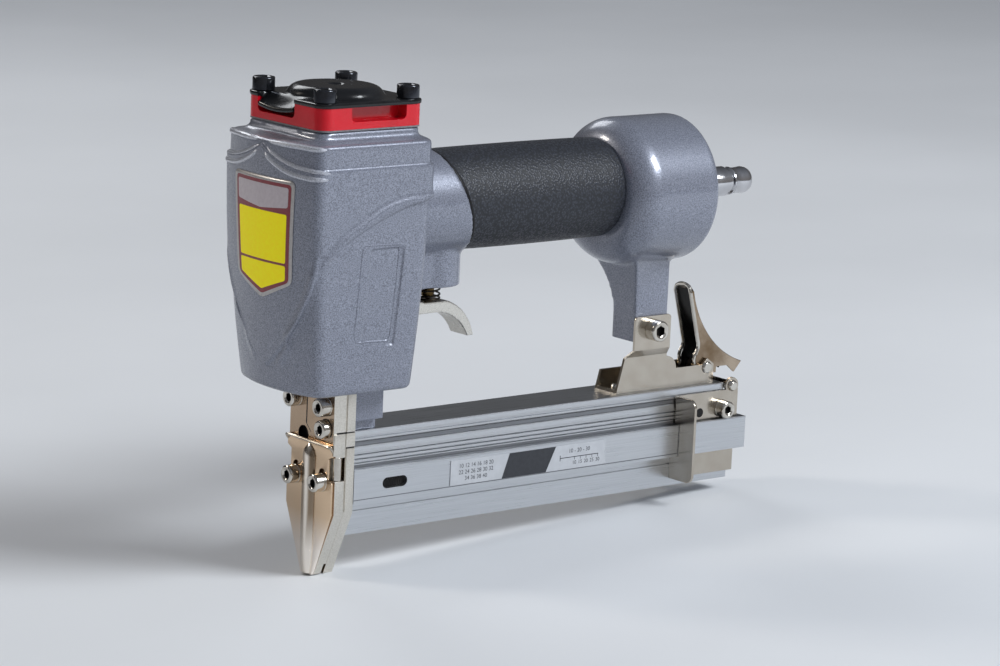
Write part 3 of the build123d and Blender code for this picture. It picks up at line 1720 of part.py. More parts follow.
latch_back_low = latch_arc_point(latch_tail_x, latch_arc_r)
latch_back_mid = latch_arc_point(0, latch_arc_r)
latch_back_high = (
    latch_arc_x - sqrt(latch_arc_r**2 - (latch_top_z - latch_arc_z) ** 2),
    latch_top_z,
)
latch_inner_r = latch_arc_r + latch_sheet
latch_middle = Plane((latch_pivot_x, 0, 0), x_dir=(1, 0, 0), z_dir=(0, -1, 0))
with BuildPart() as latch_lever:
    with BuildSketch(latch_middle) as latch_side:
        with BuildLine():
            ThreePointArc(latch_back_high, latch_back_mid, latch_back_low)
            Polyline(
                latch_back_low,
                (latch_tip_x, latch_tip_z),
                (latch_hook_x, latch_jaw_roof_z),
                (latch_jaw_x, latch_jaw_roof_z),
                (latch_jaw_x, latch_jaw_z),
                (latch_sole_x, latch_sole_z),
                (latch_heel_x, latch_heel_z),
                (latch_front_low_x, latch_front_low_z),
                (latch_front_top_x, latch_front_top_z),
                (latch_top_x, latch_top_z),
                latch_back_high,
            )
        make_face()
    extrude(amount=latch_half, both=True)
    with BuildSketch(latch_middle):
        with BuildLine():
            inner_high = (
                latch_arc_x - sqrt(latch_inner_r**2 - (latch_front_top_z - latch_arc_z) ** 2),
                latch_front_top_z,
            )
            inner_low = latch_arc_point(latch_tail_x - 2 * latch_sheet, latch_inner_r)
            ThreePointArc(inner_high, latch_arc_point(0, latch_inner_r), inner_low)
            Polyline(
                inner_low,
                (latch_tail_x, 0),
                (latch_front_top_x - latch_half, 0),
                (latch_front_top_x - latch_half, latch_front_top_z),
                inner_high,
            )
        make_face()
    extrude(amount=latch_half - latch_sheet, both=True, mode=Mode.SUBTRACT)
    with BuildSketch(latch_middle):
        with Locations((0, latch_pivot_z)):
            Circle(latch_pin_r + run_fit)
    extrude(amount=outside, both=True, mode=Mode.SUBTRACT)
latch_lever.part.label = "latch_lever"
export_step(latch_lever.part, "parts/latch_lever.step")

with BuildPart() as latch_pin:
    disc(
        Plane((latch_pivot_x, bracket_half, latch_pivot_z), x_dir=(1, 0, 0), z_dir=(0, -1, 0)),
        latch_pin_r,
        2 * bracket_half,
    )
    for side in (-1, 1):
        pin_end = Plane((latch_pivot_x, side * bracket_half, latch_pivot_z), z_dir=(0, side, 0))
        with BuildSketch(pin_end):
            Circle(latch_pin_head_r)
        extrude(amount=latch_pin_head, taper=head_taper)
latch_pin.part.label = "latch_pin"
export_step(latch_pin.part, "parts/latch_pin.step")

latch_coil_start = -latch_coil_pitch * latch_turns / 2
with BuildPart() as latch_spring:
    coil_tube(
        Plane((latch_pivot_x, latch_coil_start, latch_pivot_z), x_dir=(1, 0, 0), z_dir=(0, 1, 0)),
        latch_coil_r,
        latch_coil_pitch,
        latch_turns,
        latch_wire_r,
    )
latch_spring.part.label = "latch_spring"
export_step(latch_spring.part, "parts/latch_spring.step")
coil_gap("latch_spring", latch_coil_r, latch_coil_pitch, latch_wire_r)

# End cap of the handle, its seal, its retaining ring and the air plug
end_seal = across_bell.offset(end_cap_front_x + end_cap_length / 2)
with BuildPart() as end_cap:
    disc(across_bell.offset(end_cap_front_x), bell_bore_r - slip_fit, end_cap_length)
    disc(
        across_bell.offset(end_cap_front_x),
        plug_thread_r + slip_fit,
        end_cap_length,
        mode=Mode.SUBTRACT,
    )
    ring_groove(end_seal, bell_bore_r - slip_fit)
end_cap.part.label = "end_cap"
export_step(end_cap.part, "parts/end_cap.step")

with BuildPart() as end_cap_seal:
    seal_ring(end_seal, bell_bore_r - slip_fit - ring_r)
end_cap_seal.part.label = "end_cap_seal"
export_step(end_cap_seal.part, "parts/end_cap_seal.step")

with BuildPart() as end_cap_ring:
    with BuildSketch(across_bell.offset(end_cap_rear_x + slip_fit)):
        Circle(bell_bore_r + end_ring_bite - slip_fit)
        Circle(bell_bore_r - end_ring_depth, mode=Mode.SUBTRACT)
    extrude(amount=end_ring_width - 2 * slip_fit)
end_cap_ring.part.label = "end_cap_ring"
export_step(end_cap_ring.part, "parts/end_cap_ring.step")

plug_seat_x = end_cap_rear_x
plug_neck_x = plug_seat_x + plug_hex_length
plug_collar_x = bell_rear_x + plug_reach
plug_nose_x = plug_collar_x + plug_collar_length + plug_groove_length
plug_end_x = plug_nose_x + plug_nose_length
with BuildPart() as air_plug:
    disc(across_bell.offset(plug_seat_x), plug_thread_r, -plug_thread_length)
    with BuildSketch(across_bell.offset(plug_seat_x)):
        RegularPolygon(plug_hex / 2, 6, major_radius=False)
    extrude(amount=plug_hex_length)
    disc(across_bell.offset(plug_neck_x), plug_neck_r, plug_end_x - plug_neck_x)
    disc(across_bell.offset(plug_collar_x), plug_collar_r, plug_collar_length)
    disc(across_bell.offset(plug_nose_x), plug_nose_r, plug_end_x - plug_nose_x)
    disc(
        across_bell.offset(plug_seat_x - plug_thread_length),
        plug_bore_r,
        outside,
        mode=Mode.SUBTRACT,
    )
    fillet(air_plug.edges().group_by(Axis.X)[-1].sort_by(SortBy.LENGTH)[-1], plug_edge_r)
air_plug.part.label = "air_plug"
export_step(air_plug.part, "parts/air_plug.step")

print("stroke leaves the blade", round(blade_rest_z - stroke, 3), "above the tip")
print("height", round(plate_top_z + m5_head_height, 2))
print("length", round(plug_end_x - shoulder_front_x + cape_proud, 2))
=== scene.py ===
# %% [markdown]
# A pneumatic brad nailer, dressed for a photograph.
# The CAD frame gives every piece its place and its motion. This lesson adds what
# the CAD leaves out: cast paint, pebbled rubber, plated sheet, drawn aluminium,
# rounded edges and the small plates that sit on the tool.

# %% Load the frame
import json
from math import atan2, cos, exp, pi, radians, sin, sqrt, tan

import bmesh
import bpy
from mathutils import Matrix, Vector
from mathutils.bvhtree import BVHTree
from mathutils.kdtree import KDTree

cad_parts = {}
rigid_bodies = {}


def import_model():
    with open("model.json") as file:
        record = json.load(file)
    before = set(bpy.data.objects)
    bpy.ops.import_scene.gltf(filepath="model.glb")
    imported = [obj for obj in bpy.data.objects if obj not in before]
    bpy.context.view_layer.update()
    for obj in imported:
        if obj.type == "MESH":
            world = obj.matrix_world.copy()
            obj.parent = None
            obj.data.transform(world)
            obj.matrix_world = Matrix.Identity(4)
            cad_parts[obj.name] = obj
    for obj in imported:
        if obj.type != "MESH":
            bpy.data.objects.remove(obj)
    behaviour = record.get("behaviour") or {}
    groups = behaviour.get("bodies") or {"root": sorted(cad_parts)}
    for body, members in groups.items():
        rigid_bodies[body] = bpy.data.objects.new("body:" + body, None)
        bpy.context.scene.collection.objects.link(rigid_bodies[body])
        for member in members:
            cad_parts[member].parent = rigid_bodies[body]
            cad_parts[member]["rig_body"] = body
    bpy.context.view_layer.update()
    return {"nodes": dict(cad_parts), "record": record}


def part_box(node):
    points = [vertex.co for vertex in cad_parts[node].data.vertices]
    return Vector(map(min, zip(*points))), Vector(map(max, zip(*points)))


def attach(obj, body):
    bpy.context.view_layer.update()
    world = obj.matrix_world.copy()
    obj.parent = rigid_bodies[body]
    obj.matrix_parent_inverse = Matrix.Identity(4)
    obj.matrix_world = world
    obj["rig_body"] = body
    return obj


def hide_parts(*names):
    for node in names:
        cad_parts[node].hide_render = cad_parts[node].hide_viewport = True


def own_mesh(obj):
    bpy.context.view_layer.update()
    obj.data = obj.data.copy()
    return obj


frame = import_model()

MM = 0.001
nodes = frame["nodes"]
print("nodes in the frame:", len(nodes))

# %% [markdown]
# The camera stands where the photograph was taken: in front of the tool and to its
# left, a little above it, with a long lens. Azimuth, elevation and roll turn a
# level camera into that view.

# %% Camera
VIEW_AZIMUTH, VIEW_ELEVATION, VIEW_ROLL = -39.694, 11.097, 2.52
VIEW_DISTANCE = 1.42079
VIEW_TARGET = Vector((0.0837, 0.0, 0.08409))
LENS_MM, SENSOR_MM = 131.83, 36.0

az, el, roll = radians(VIEW_AZIMUTH), radians(VIEW_ELEVATION), radians(VIEW_ROLL)
level_right = Vector((cos(az), sin(az), 0))
level_up = Vector((-sin(az) * sin(el), cos(az) * sin(el), cos(el)))
back = Vector((sin(az) * cos(el), -cos(az) * cos(el), sin(el)))
right = level_right * cos(roll) + level_up * sin(roll)
up = level_up * cos(roll) - level_right * sin(roll)

lens = bpy.data.cameras.new("photo_camera")
lens.sensor_width = SENSOR_MM
lens.lens = LENS_MM
camera = bpy.data.objects.new("photo_camera", lens)
bpy.context.collection.objects.link(camera)
turn = Matrix((right, up, back)).transposed().to_4x4()
camera.matrix_world = Matrix.Translation(VIEW_TARGET + back * VIEW_DISTANCE) @ turn
bpy.context.scene.camera = camera
bpy.context.scene.view_settings.view_transform = "Standard"
print("camera stands at", [round(v, 3) for v in camera.location])

# %% [markdown]
# The floor is one wide pale sheet. A nailer that is set down leans back a little,
# from its nose tip towards the end of its magazine, so the floor runs through the
# tip and through the place that the magazine's lower edge reaches when it is drawn
# out. That way nothing sinks into the floor in any pose.

# %% Floor
TIP_REAR = Vector((0.0036, 0, 0))
DRAWN_REAR = Vector((0.2986, 0, 0.0155))
FLOOR_HALF = 6.0

slope = DRAWN_REAR - TIP_REAR
lean = Matrix.Rotation(-atan2(slope.z, slope.x), 4, "Y")
bm = bmesh.new()
bmesh.ops.create_grid(bm, x_segments=1, y_segments=1, size=FLOOR_HALF)
bm.transform(Matrix.Translation(TIP_REAR) @ lean)
floor_mesh = bpy.data.meshes.new("floor")
bm.to_mesh(floor_mesh)
bm.free()
floor = bpy.data.objects.new("floor", floor_mesh)
bpy.context.collection.objects.link(floor)
print("floor corners", [[round(c, 2) for c in v.co] for v in floor_mesh.vertices])

# %% [markdown]
# Soft studio light: a large lamp above and to the right of the camera, a window on the
# far left that glints along the head's front, and a lamp behind that draws a line
# along the top edges.

# %% Lamps
TOOL_MIDDLE = Vector((0.08, 0.0, 0.09))


def soft_lamp(name, place, size, watts, tint):
    """A square area lamp that looks at the middle of the tool."""
    lamp = bpy.data.lights.new(name, "AREA")
    lamp.size = size
    lamp.energy = watts
    lamp.color = tint
    holder = bpy.data.objects.new(name, lamp)
    bpy.context.collection.objects.link(holder)
    way = TOOL_MIDDLE - Vector(place)
    aim = way.to_track_quat("-Z", "Y").to_matrix().to_4x4()
    holder.matrix_world = Matrix.Translation(place) @ aim


soft_lamp("key_lamp", (0.75, -1.25, 1.35), 0.7, 31, (0.92, 0.96, 1.0))
soft_lamp("window_lamp", (-1.0, 1.15, 0.95), 0.3, 6.5, (1.0, 0.93, 0.84))
soft_lamp("rim_lamp", (0.3, 1.3, 1.1), 0.6, 4.5, (0.95, 0.975, 1.0))

# %% [markdown]
# The world is a dim room, lighter behind the camera than behind the tool, so metal that
# looks up shows dark and metal that looks forward shows pale. A ramp over the height
# gives the room its colour, and a range over the depth gives its strength.

# %% World
ROOM_FRONT, ROOM_BACK = 1.1, 0.15
ROOM_LOW = (0.42, (0.24, 0.22, 0.20, 1))
ROOM_HIGH = (0.85, (0.30, 0.32, 0.36, 1))

world = bpy.data.worlds.new("pale_room")
bpy.context.scene.world = world
world.use_nodes = True
sky = world.node_tree
room = sky.nodes["Background"]


def across_room(value, low, high):
    """A Map Range node that takes -1 to 1, one end of the room to the other, to a range."""
    node = sky.nodes.new("ShaderNodeMapRange")
    node.inputs["From Min"].default_value = -1.0
    node.inputs["To Min"].default_value = low
    node.inputs["To Max"].default_value = high
    sky.links.new(value, node.inputs["Value"])
    return node.outputs["Result"]


way = sky.nodes.new("ShaderNodeSeparateXYZ")
sky.links.new(sky.nodes.new("ShaderNodeTexCoord").outputs["Generated"], way.inputs["Vector"])
shade = sky.nodes.new("ShaderNodeValToRGB")
for stop, (place, tint) in zip(shade.color_ramp.elements, (ROOM_LOW, ROOM_HIGH)):
    stop.position = place
    stop.color = tint
sky.links.new(across_room(way.outputs["Z"], 0.0, 1.0), shade.inputs["Fac"])
sky.links.new(shade.outputs["Color"], room.inputs["Color"])
sky.links.new(across_room(way.outputs["Y"], ROOM_FRONT, ROOM_BACK), room.inputs["Strength"])
print("room strength", ROOM_FRONT, "in front and", ROOM_BACK, "behind")

# %% [markdown]
# Patterns that several finishes share are shader groups, built once. Each reads the
# place of a point on its object, so a pattern keeps its real size on every piece.
# Sizes go in as waves per metre: 1000 gives grains of about a millimetre. The middle
# of a noise is pulled out to a full range, since its ends are seldom reached.

# %% Shader groups
GRAIN_DETAIL, GRAIN_SPAN = 2.0, (0.34, 0.66)
SMEAR_DETAIL, SMEAR_SPAN = 5.0, (0.35, 0.65)


def new_group(name, waves, *outputs):
    """A new shader group, with its place on the object, waves socket and end sockets."""
    group = bpy.data.node_groups.new(name, "ShaderNodeTree")
    made = group.interface.new_socket("Waves", in_out="INPUT", socket_type="NodeSocketFloat")
    made.default_value = waves
    for label in outputs:
        group.interface.new_socket(label, in_out="OUTPUT", socket_type="NodeSocketFloat")
    spot = group.nodes.new("ShaderNodeTexCoord").outputs["Object"]
    scale = group.nodes.new("NodeGroupInput").outputs["Waves"]
    return group, spot, scale, group.nodes.new("NodeGroupOutput").inputs


def stretch(group, value, low, high):
    """A Map Range node that pulls a part of a value out to a full range."""
    node = group.nodes.new("ShaderNodeMapRange")
    node.inputs["From Min"].default_value = low
    node.inputs["From Max"].default_value = high
    group.links.new(value, node.inputs["Value"])
    return node.outputs["Result"]


def noise(group, vector, scale, detail):
    """A noise texture on a vector, with its scale from a socket."""
    node = group.nodes.new("ShaderNodeTexNoise")
    node.inputs["Detail"].default_value = detail
    group.links.new(vector, node.inputs["Vector"])
    group.links.new(scale, node.inputs["Scale"])
    return node.outputs["Fac"]


grain_group, spot, waves, leave = new_group("grain", 1000.0, "Grain", "Height")
raw = noise(grain_group, spot, waves, GRAIN_DETAIL)
grain_group.links.new(stretch(grain_group, raw, *GRAIN_SPAN), leave["Grain"])
grain_group.links.new(raw, leave["Height"])

smear_group, spot, waves, leave = new_group("smears", 60.0, "Smear")
raw = noise(smear_group, spot, waves, SMEAR_DETAIL)
smear_group.links.new(stretch(smear_group, raw, *SMEAR_SPAN), leave["Smear"])
print("noise groups:", [g.name for g in bpy.data.node_groups])

# %% [markdown]
# Two masks follow the place itself. The crest mask is pale along the tool's middle: a
# painted highlight down the pressed rib. The foot mask is pale near the nose tip: a
# painted reflection of the pale floor in the plates there.

# %% Painted rib highlight and painted floor reflection
RIB_HIGHLIGHT_Y, RIB_HIGHLIGHT_SPAN = -0.0005, (1.0, 0.25)
FLOOR_REFLECTION_SPAN = (1.0, 0.4)


def sum_node(group, kind, first, second=None):
    """A Math node with one linked value and a linked or fixed second one."""
    node = group.nodes.new("ShaderNodeMath")
    node.operation = kind
    group.links.new(first, node.inputs[0])
    if isinstance(second, float):
        node.inputs[1].default_value = second
    elif second:
        group.links.new(second, node.inputs[1])
    return node.outputs["Value"]


def one_axis(group, vector, axis):
    """One coordinate of a vector."""
    node = group.nodes.new("ShaderNodeSeparateXYZ")
    group.links.new(vector, node.inputs["Vector"])
    return node.outputs[axis]


rib_highlight_group, spot, waves, leave = new_group("rib_highlight", 500.0, "Rib_Highlight")
off = sum_node(rib_highlight_group, "SUBTRACT", one_axis(rib_highlight_group, spot, "Y"), RIB_HIGHLIGHT_Y)
scaled = sum_node(rib_highlight_group, "MULTIPLY", sum_node(rib_highlight_group, "ABSOLUTE", off), waves)
rib_highlight_group.links.new(stretch(rib_highlight_group, scaled, *RIB_HIGHLIGHT_SPAN), leave["Rib_Highlight"])

floor_reflection_group, spot, waves, leave = new_group("foot", 50.0, "Floor_Reflection")
scaled = sum_node(floor_reflection_group, "MULTIPLY", one_axis(floor_reflection_group, spot, "Z"), waves)
floor_reflection_group.links.new(stretch(floor_reflection_group, scaled, *FLOOR_REFLECTION_SPAN), leave["Floor_Reflection"])
print("masks by place:", rib_highlight_group.name, floor_reflection_group.name)

# %% [markdown]
# Drawing metal through a die leaves lines along it: a noise that is stretched along X.
# Moulded rubber is covered in pebbles: the round cells of a Voronoi texture.

# %% Draw lines and pebbles
LINE_STRETCH, LINE_DETAIL, LINE_SPAN = (0.012, 1.0, 1.0), 3.0, (0.3, 0.7)
PEBBLE_SPAN = (0.62, 0.06)

line_group, spot, waves, leave = new_group("draw_lines", 2500.0, "Line")
pull = line_group.nodes.new("ShaderNodeMapping")
pull.inputs["Scale"].default_value = LINE_STRETCH
line_group.links.new(spot, pull.inputs["Vector"])
raw = noise(line_group, pull.outputs["Vector"], waves, LINE_DETAIL)
line_group.links.new(stretch(line_group, raw, *LINE_SPAN), leave["Line"])

pebble_group, spot, waves, leave = new_group("pebbles", 900.0, "Pebble")
cells = pebble_group.nodes.new("ShaderNodeTexVoronoi")
cells.feature = "F1"
pebble_group.links.new(spot, cells.inputs["Vector"])
pebble_group.links.new(waves, cells.inputs["Scale"])
tops = stretch(pebble_group, cells.outputs["Distance"], *PEBBLE_SPAN)
pebble_group.links.new(tops, leave["Pebble"])
print("shader groups:", [g.name for g in bpy.data.node_groups])

# %% [markdown]
# A finish is a Principled shader with constants on its own sockets and patterns on
# three of them: a mix of two colours, a roughness that varies, and a bump. These
# helpers make the three links, so each finish below reads as a short recipe: its
# pattern and waves, a dark and a light colour, a range of roughness and a relief.

# %% Finish helpers


def rgb(red, green, blue):
    """A colour as seen on a screen, 0 to 255, made linear for a shader."""

    def straight(level):
        level /= 255
        return level / 12.92 if level <= 0.04045 else ((level + 0.055) / 1.055) ** 2.4

    return (straight(red), straight(green), straight(blue), 1.0)


def finish(name, **constants):
    """A new material whose Principled shader has these constants."""
    made = bpy.data.materials.new(name)
    made.use_nodes = True
    shader = made.node_tree.nodes["Principled BSDF"]
    for label, value in constants.items():
        shader.inputs[label.replace("_", " ")].default_value = value
    return made


def pattern(made, group, waves):
    """A shader group placed in a material at its own scale."""
    node = made.node_tree.nodes.new("ShaderNodeGroup")
    node.node_tree = group
    node.inputs["Waves"].default_value = waves
    return node.outputs


def two_colours(made, mask, dark, light):
    """Base colour from dark to light as a mask goes from 0 to 1."""
    tree = made.node_tree
    mix = tree.nodes.new("ShaderNodeMix")
    mix.data_type = "RGBA"
    mix.inputs["A"].default_value = rgb(*dark)
    mix.inputs["B"].default_value = rgb(*light)
    tree.links.new(mask, mix.inputs["Factor"])
    tree.links.new(mix.outputs["Result"], tree.nodes["Principled BSDF"].inputs["Base Color"])


def vary_roughness(made, mask, low, high):
    """Roughness between two values, led by a mask."""
    tree = made.node_tree
    node = tree.nodes.new("ShaderNodeMapRange")
    node.inputs["To Min"].default_value = low
    node.inputs["To Max"].default_value = high
    tree.links.new(mask, node.inputs["Value"])
    tree.links.new(node.outputs["Result"], tree.nodes["Principled BSDF"].inputs["Roughness"])


def relief(made, height, depth_mm):
    """A bump of a given depth."""
    tree = made.node_tree
    bump = tree.nodes.new("ShaderNodeBump")
    bump.inputs["Distance"].default_value = depth_mm * MM
    bump.inputs["Strength"].default_value = 1.0
    tree.links.new(height, bump.inputs["Height"])
    tree.links.new(bump.outputs["Normal"], tree.nodes["Principled BSDF"].inputs["Normal"])


def grain_relief(made, waves, depth_mm):
    """A relief with grains of its own."""
    relief(made, pattern(made, grain_group, waves)["Height"], depth_mm)


def recipe(name, group, waves, dark, light, rough=None, bump_mm=None, **constants):
    """A finish that is led by one pattern, whose last output is its height."""
    made = finish(name, **constants)
    led_by = pattern(made, group, waves)
    two_colours(made, led_by[0], dark, light)
    if rough:
        vary_roughness(made, led_by[0], *rough)
    if bump_mm:
        relief(made, led_by[-1], bump_mm)
    return made


# %% [markdown]
# Cast aluminium under a hammered grey enamel. The enamel pulls into grains of about
# a millimetre, some lighter and some darker, under a clear skin that catches small
# sharp lights. On the collar's beads it is painted paler, a painted highlight. The cap
# is red, the plate on it black, and its screws are blackened steel.

# %% Enamels and black oxide
HAMMERED = {"rough": (0.40, 0.28), "bump_mm": 0.05, "Metallic": 0.3, "Coat_Roughness": 0.06}

grey_enamel = recipe(
    "grey_enamel", grain_group, 2300, (104, 108, 121), (150, 155, 170), Coat_Weight=0.6, **HAMMERED
)
# Painted highlight: a paler enamel for the collar's beads.
bead_highlight_enamel = recipe(
    "bead_highlight_enamel", grain_group, 2300, (158, 162, 174), (206, 209, 218), Coat_Weight=0.8, **HAMMERED
)
red_enamel = recipe(
    "red_enamel", smear_group, 90, (200, 4, 26), (214, 8, 32), (0.18, 0.26),
    Coat_Weight=0.3, Coat_Roughness=0.05, Specular_IOR_Level=0.35,
)
grain_relief(red_enamel, 400, 0.02)
black_enamel = recipe(
    "black_enamel", smear_group, 110, (12, 13, 15), (22, 23, 26), (0.18, 0.28),
    Coat_Weight=0.3, Coat_Roughness=0.06, Specular_IOR_Level=0.3,
)
grain_relief(black_enamel, 900, 0.03)
black_oxide = recipe(
    "black_oxide", smear_group, 300, (46, 48, 54), (62, 65, 72), (0.18, 0.26),
    Metallic=0.85, Coat_Weight=0.4, Coat_Roughness=0.1,
)
print("finishes:", [m.name for m in bpy.data.materials])

# %% [markdown]
# The grip is black rubber with a fine pebbled skin, whose tops are a little shinier and
# are painted lighter, a painted highlight. Its lip and the seal rings are plain rubber,
# and the lip is painted near black as a painted shade line along the grip's front. The
# gasket is pressed paper.

# %% Rubber and paper
# Painted highlight: the pebble tops are lighter.
grip_rubber = recipe(
    "grip_rubber", pebble_group, 1050, (28, 31, 37), (56, 60, 71), (0.6, 0.3), 0.13,
    Specular_IOR_Level=0.5,
)
# Painted shade: a near black line along the grip's front.
lip_shade_rubber = recipe(
    "lip_shade_rubber", smear_group, 200, (10, 10, 12), (18, 18, 21), (0.4, 0.55), Specular_IOR_Level=0.4
)
seal_rubber = recipe(
    "seal_rubber", smear_group, 200, (26, 26, 28), (42, 42, 44), (0.5, 0.7), Specular_IOR_Level=0.35
)
gasket_paper = recipe(
    "gasket_paper", grain_group, 1500, (112, 112, 116), (138, 138, 142), (0.6, 0.75),
    Specular_IOR_Level=0.3,
)
print("finishes:", len(bpy.data.materials))

# %% [markdown]
# Plated metals. The stamped plates are satin nickel, tinted warm as a painted reflection
# of a warm brown room, paler at the foot of the nose as a painted reflection of the floor,
# and paler along its rib as a painted highlight. The screws and pins are plated brighter.

# %% Plated metals
FLOOR_REFLECTION_WAVES = 42


def metal(name, group, waves, dark, light, rough, bump_mm=None):
    """A recipe for a fully metallic finish."""
    return recipe(name, group, waves, dark, light, rough, bump_mm, Metallic=1.0)


# Painted reflection: every nickel here is tinted warm, as if it mirrored a warm room.
nickel = metal("nickel_plate", smear_group, 160, (186, 177, 164), (195, 187, 175), (0.19, 0.23))
grain_relief(nickel, 900, 0.006)
# Painted reflection: the latch's brown smears stand for a warm room, with painted highlights.
latch_reflection_nickel = metal("latch_reflection_nickel", smear_group, 70, (126, 106, 84), (186, 170, 151), (0.2, 0.27))
# Painted reflection: brown for faces that look forward.
front_reflection_nickel = metal("front_reflection_nickel", smear_group, 140, (178, 155, 132), (188, 166, 143), (0.18, 0.25))
ground_nickel = metal("ground_nickel", grain_group, 1600, (212, 207, 197), (226, 222, 213), (0.32, 0.40))
bright_nickel = metal("bright_nickel", smear_group, 260, (200, 194, 184), (214, 210, 202), (0.12, 0.18))
chrome = metal("chrome_plate", smear_group, 140, (184, 184, 187), (202, 202, 205), (0.07, 0.16))

# Painted reflection: brown from a warm room, paling near the tip as if it mirrored the floor.
room_reflection_nickel = finish("room_reflection_nickel", Metallic=1.0)
smears = pattern(room_reflection_nickel, smear_group, 140)
foot = pattern(room_reflection_nickel, floor_reflection_group, FLOOR_REFLECTION_WAVES)
two_colours(room_reflection_nickel, foot["Floor_Reflection"], (223, 196, 166), (255, 246, 236))
vary_roughness(room_reflection_nickel, smears["Smear"], 0.18, 0.24)

# Painted highlight down the rib's middle, and painted reflection of the floor near the tip.
rib_nickel = finish("rib_nickel", Metallic=1.0)
rib_highlight = pattern(rib_nickel, rib_highlight_group, 560)
foot = pattern(rib_nickel, floor_reflection_group, FLOOR_REFLECTION_WAVES)
pale = sum_node(rib_nickel.node_tree, "MAXIMUM", rib_highlight["Rib_Highlight"], foot["Floor_Reflection"])
two_colours(rib_nickel, pale, (150, 132, 112), (244, 236, 225))
vary_roughness(rib_nickel, rib_highlight["Rib_Highlight"], 0.24, 0.17)
print("finishes:", len(bpy.data.materials))

# %% [markdown]
# Bare metals. The drawn aluminium has fine lines along its length, the trigger is cast
# and tumbled, and dark spring wire keeps a film of oil. A darker aluminium, a near black
# and a darkened brass are painted shade, for gaps, hollows and the inside of a spring.

# %% Bare metals
drawn_aluminium = metal(
    "drawn_aluminium", line_group, 3400, (196, 199, 203), (208, 211, 215), (0.27, 0.34), 0.003
)
# Painted shade: a darker copy of the drawn aluminium.
shaded_aluminium = metal(
    "shaded_aluminium", line_group, 3400, (126, 128, 132), (142, 144, 148), (0.34, 0.42)
)
cast_aluminium = metal(
    "cast_aluminium", grain_group, 1400, (211, 208, 200), (219, 216, 209), (0.26, 0.34), 0.008
)
plain_steel = metal("plain_steel", smear_group, 150, (168, 169, 170), (196, 197, 198), (0.22, 0.38))
# Painted shade: the brass is darker than bare brass, since it sits inside a spring.
brass = metal("brass", smear_group, 200, (104, 85, 54), (132, 110, 72), (0.24, 0.38))
spring_wire = recipe(
    "spring_wire", smear_group, 400, (38, 33, 29), (64, 57, 48), (0.25, 0.42), Metallic=0.9
)
# Painted shade: a near black for gaps, holes and hollows.
shade_black = recipe("shade_black", smear_group, 220, (16, 15, 15), (30, 28, 27), (0.35, 0.5), Metallic=0.4)
print("finishes:", len(bpy.data.materials))

# %% [markdown]
# The valve parts are moulded in pale plastic, the size plate is a printed film, and the
# floor is a matt sheet with broad faint smears.

# %% Plastics and floor
valve_plastic = recipe(
    "valve_plastic", smear_group, 130, (212, 208, 198), (226, 222, 212), (0.4, 0.55)
)
label_film = recipe(
    "label_film", grain_group, 300, (184, 187, 192), (191, 194, 199), (0.34, 0.42),
    Coat_Weight=0.3, Coat_Roughness=0.2,
)
pale_floor = recipe(
    "pale_floor", smear_group, 3, (222, 224, 227), (228, 230, 233), (0.6, 0.7), Specular_IOR_Level=0.25
)
floor.data.materials.append(pale_floor)
print("finishes:", len(bpy.data.materials))

# %% [markdown]
# Every CAD node takes the finish of the real piece: first by the slot that its record
# names, and then some nodes by a finish of their own.

# %% Dress the CAD nodes
DRESS = {
    "grey_casting": grey_enamel,
    "grip_rubber": grip_rubber,
    "red_cap": red_enamel,
    "black_steel": black_enamel,
    "nickel": nickel,
    "steel": plain_steel,
    "spring_steel": spring_wire,
    "aluminium": drawn_aluminium,
    "chrome": chrome,
    "brass": brass,
    "seal_rubber": seal_rubber,
    "valve_plastic": valve_plastic,
    "label": label_film,
}
OWN_DRESS = {
    "trigger": cast_aluminium,
    "cap_gasket": gasket_paper,
    # The nose cover and the latch carry a painted reflection of a warm room.
    "nose_cover": room_reflection_nickel,
    "latch_lever": latch_reflection_nickel,
    "cap_screws": black_oxide,
    "driver_guide": ground_nickel,
    "nose_rear_plate": ground_nickel,
}
BRIGHT = (
    "upper_nose_screws", "lower_nose_screws", "nose_washers", "guide_pins", "catch_pin", "tail_screws",
    "tail_washers", "bracket_screw", "bracket_nut", "bracket_rivets", "latch_pin",
)
slot_of = {row["node"]: row["material_slot"] for row in frame["record"]["subparts"]}


def dress(piece, made):
    """One material for the whole of a piece."""
    piece.data.materials.clear()
    piece.data.materials.append(made)


dressing = {node: DRESS[slot] for node, slot in slot_of.items()}
dressing |= OWN_DRESS
dressing |= dict.fromkeys(BRIGHT, bright_nickel)
for node, made in dressing.items():
    dress(nodes[node], made)
print("dressed nodes:", len(dressing))

# %% [markdown]
# Most pieces keep the CAD's shape and only need the small roundings that stamping,
# turning and tumbling leave. A copy of the node is merged into one skin, its flat
# triangles are joined, its sharp edges are bevelled, and the copy takes the node's
# place. The narrow bevels draw the thin bright lines along the edges.

# %% Piece helpers
MERGE_MM = 0.002
FLAT, CREASE, SMOOTH = radians(0.6), radians(27), radians(34)
BEVEL_STEPS = 2
SIDES = ((-1, "left"), (1, "right"))


def box_mm(node):
    """The two corners of a node's box, in mm."""
    return [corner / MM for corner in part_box(node)]


def cad_copy(node):
    """A CAD node's skin as one merged mesh."""
    bm = bmesh.new()
    bm.from_mesh(nodes[node].data)
    bmesh.ops.remove_doubles(bm, verts=bm.verts[:], dist=MERGE_MM * MM)
    return bm


def add_piece(bm, name, made, body):
    """A finished mesh as an object that moves with a body."""
    mesh = bpy.data.meshes.new(name)
    bm.to_mesh(mesh)
    bm.free()
    mesh.materials.append(made)
    mesh.shade_smooth()
    mesh.set_sharp_from_angle(angle=SMOOTH)
    piece = bpy.data.objects.new(name, mesh)
    bpy.context.collection.objects.link(piece)
    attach(piece, body)
    return piece


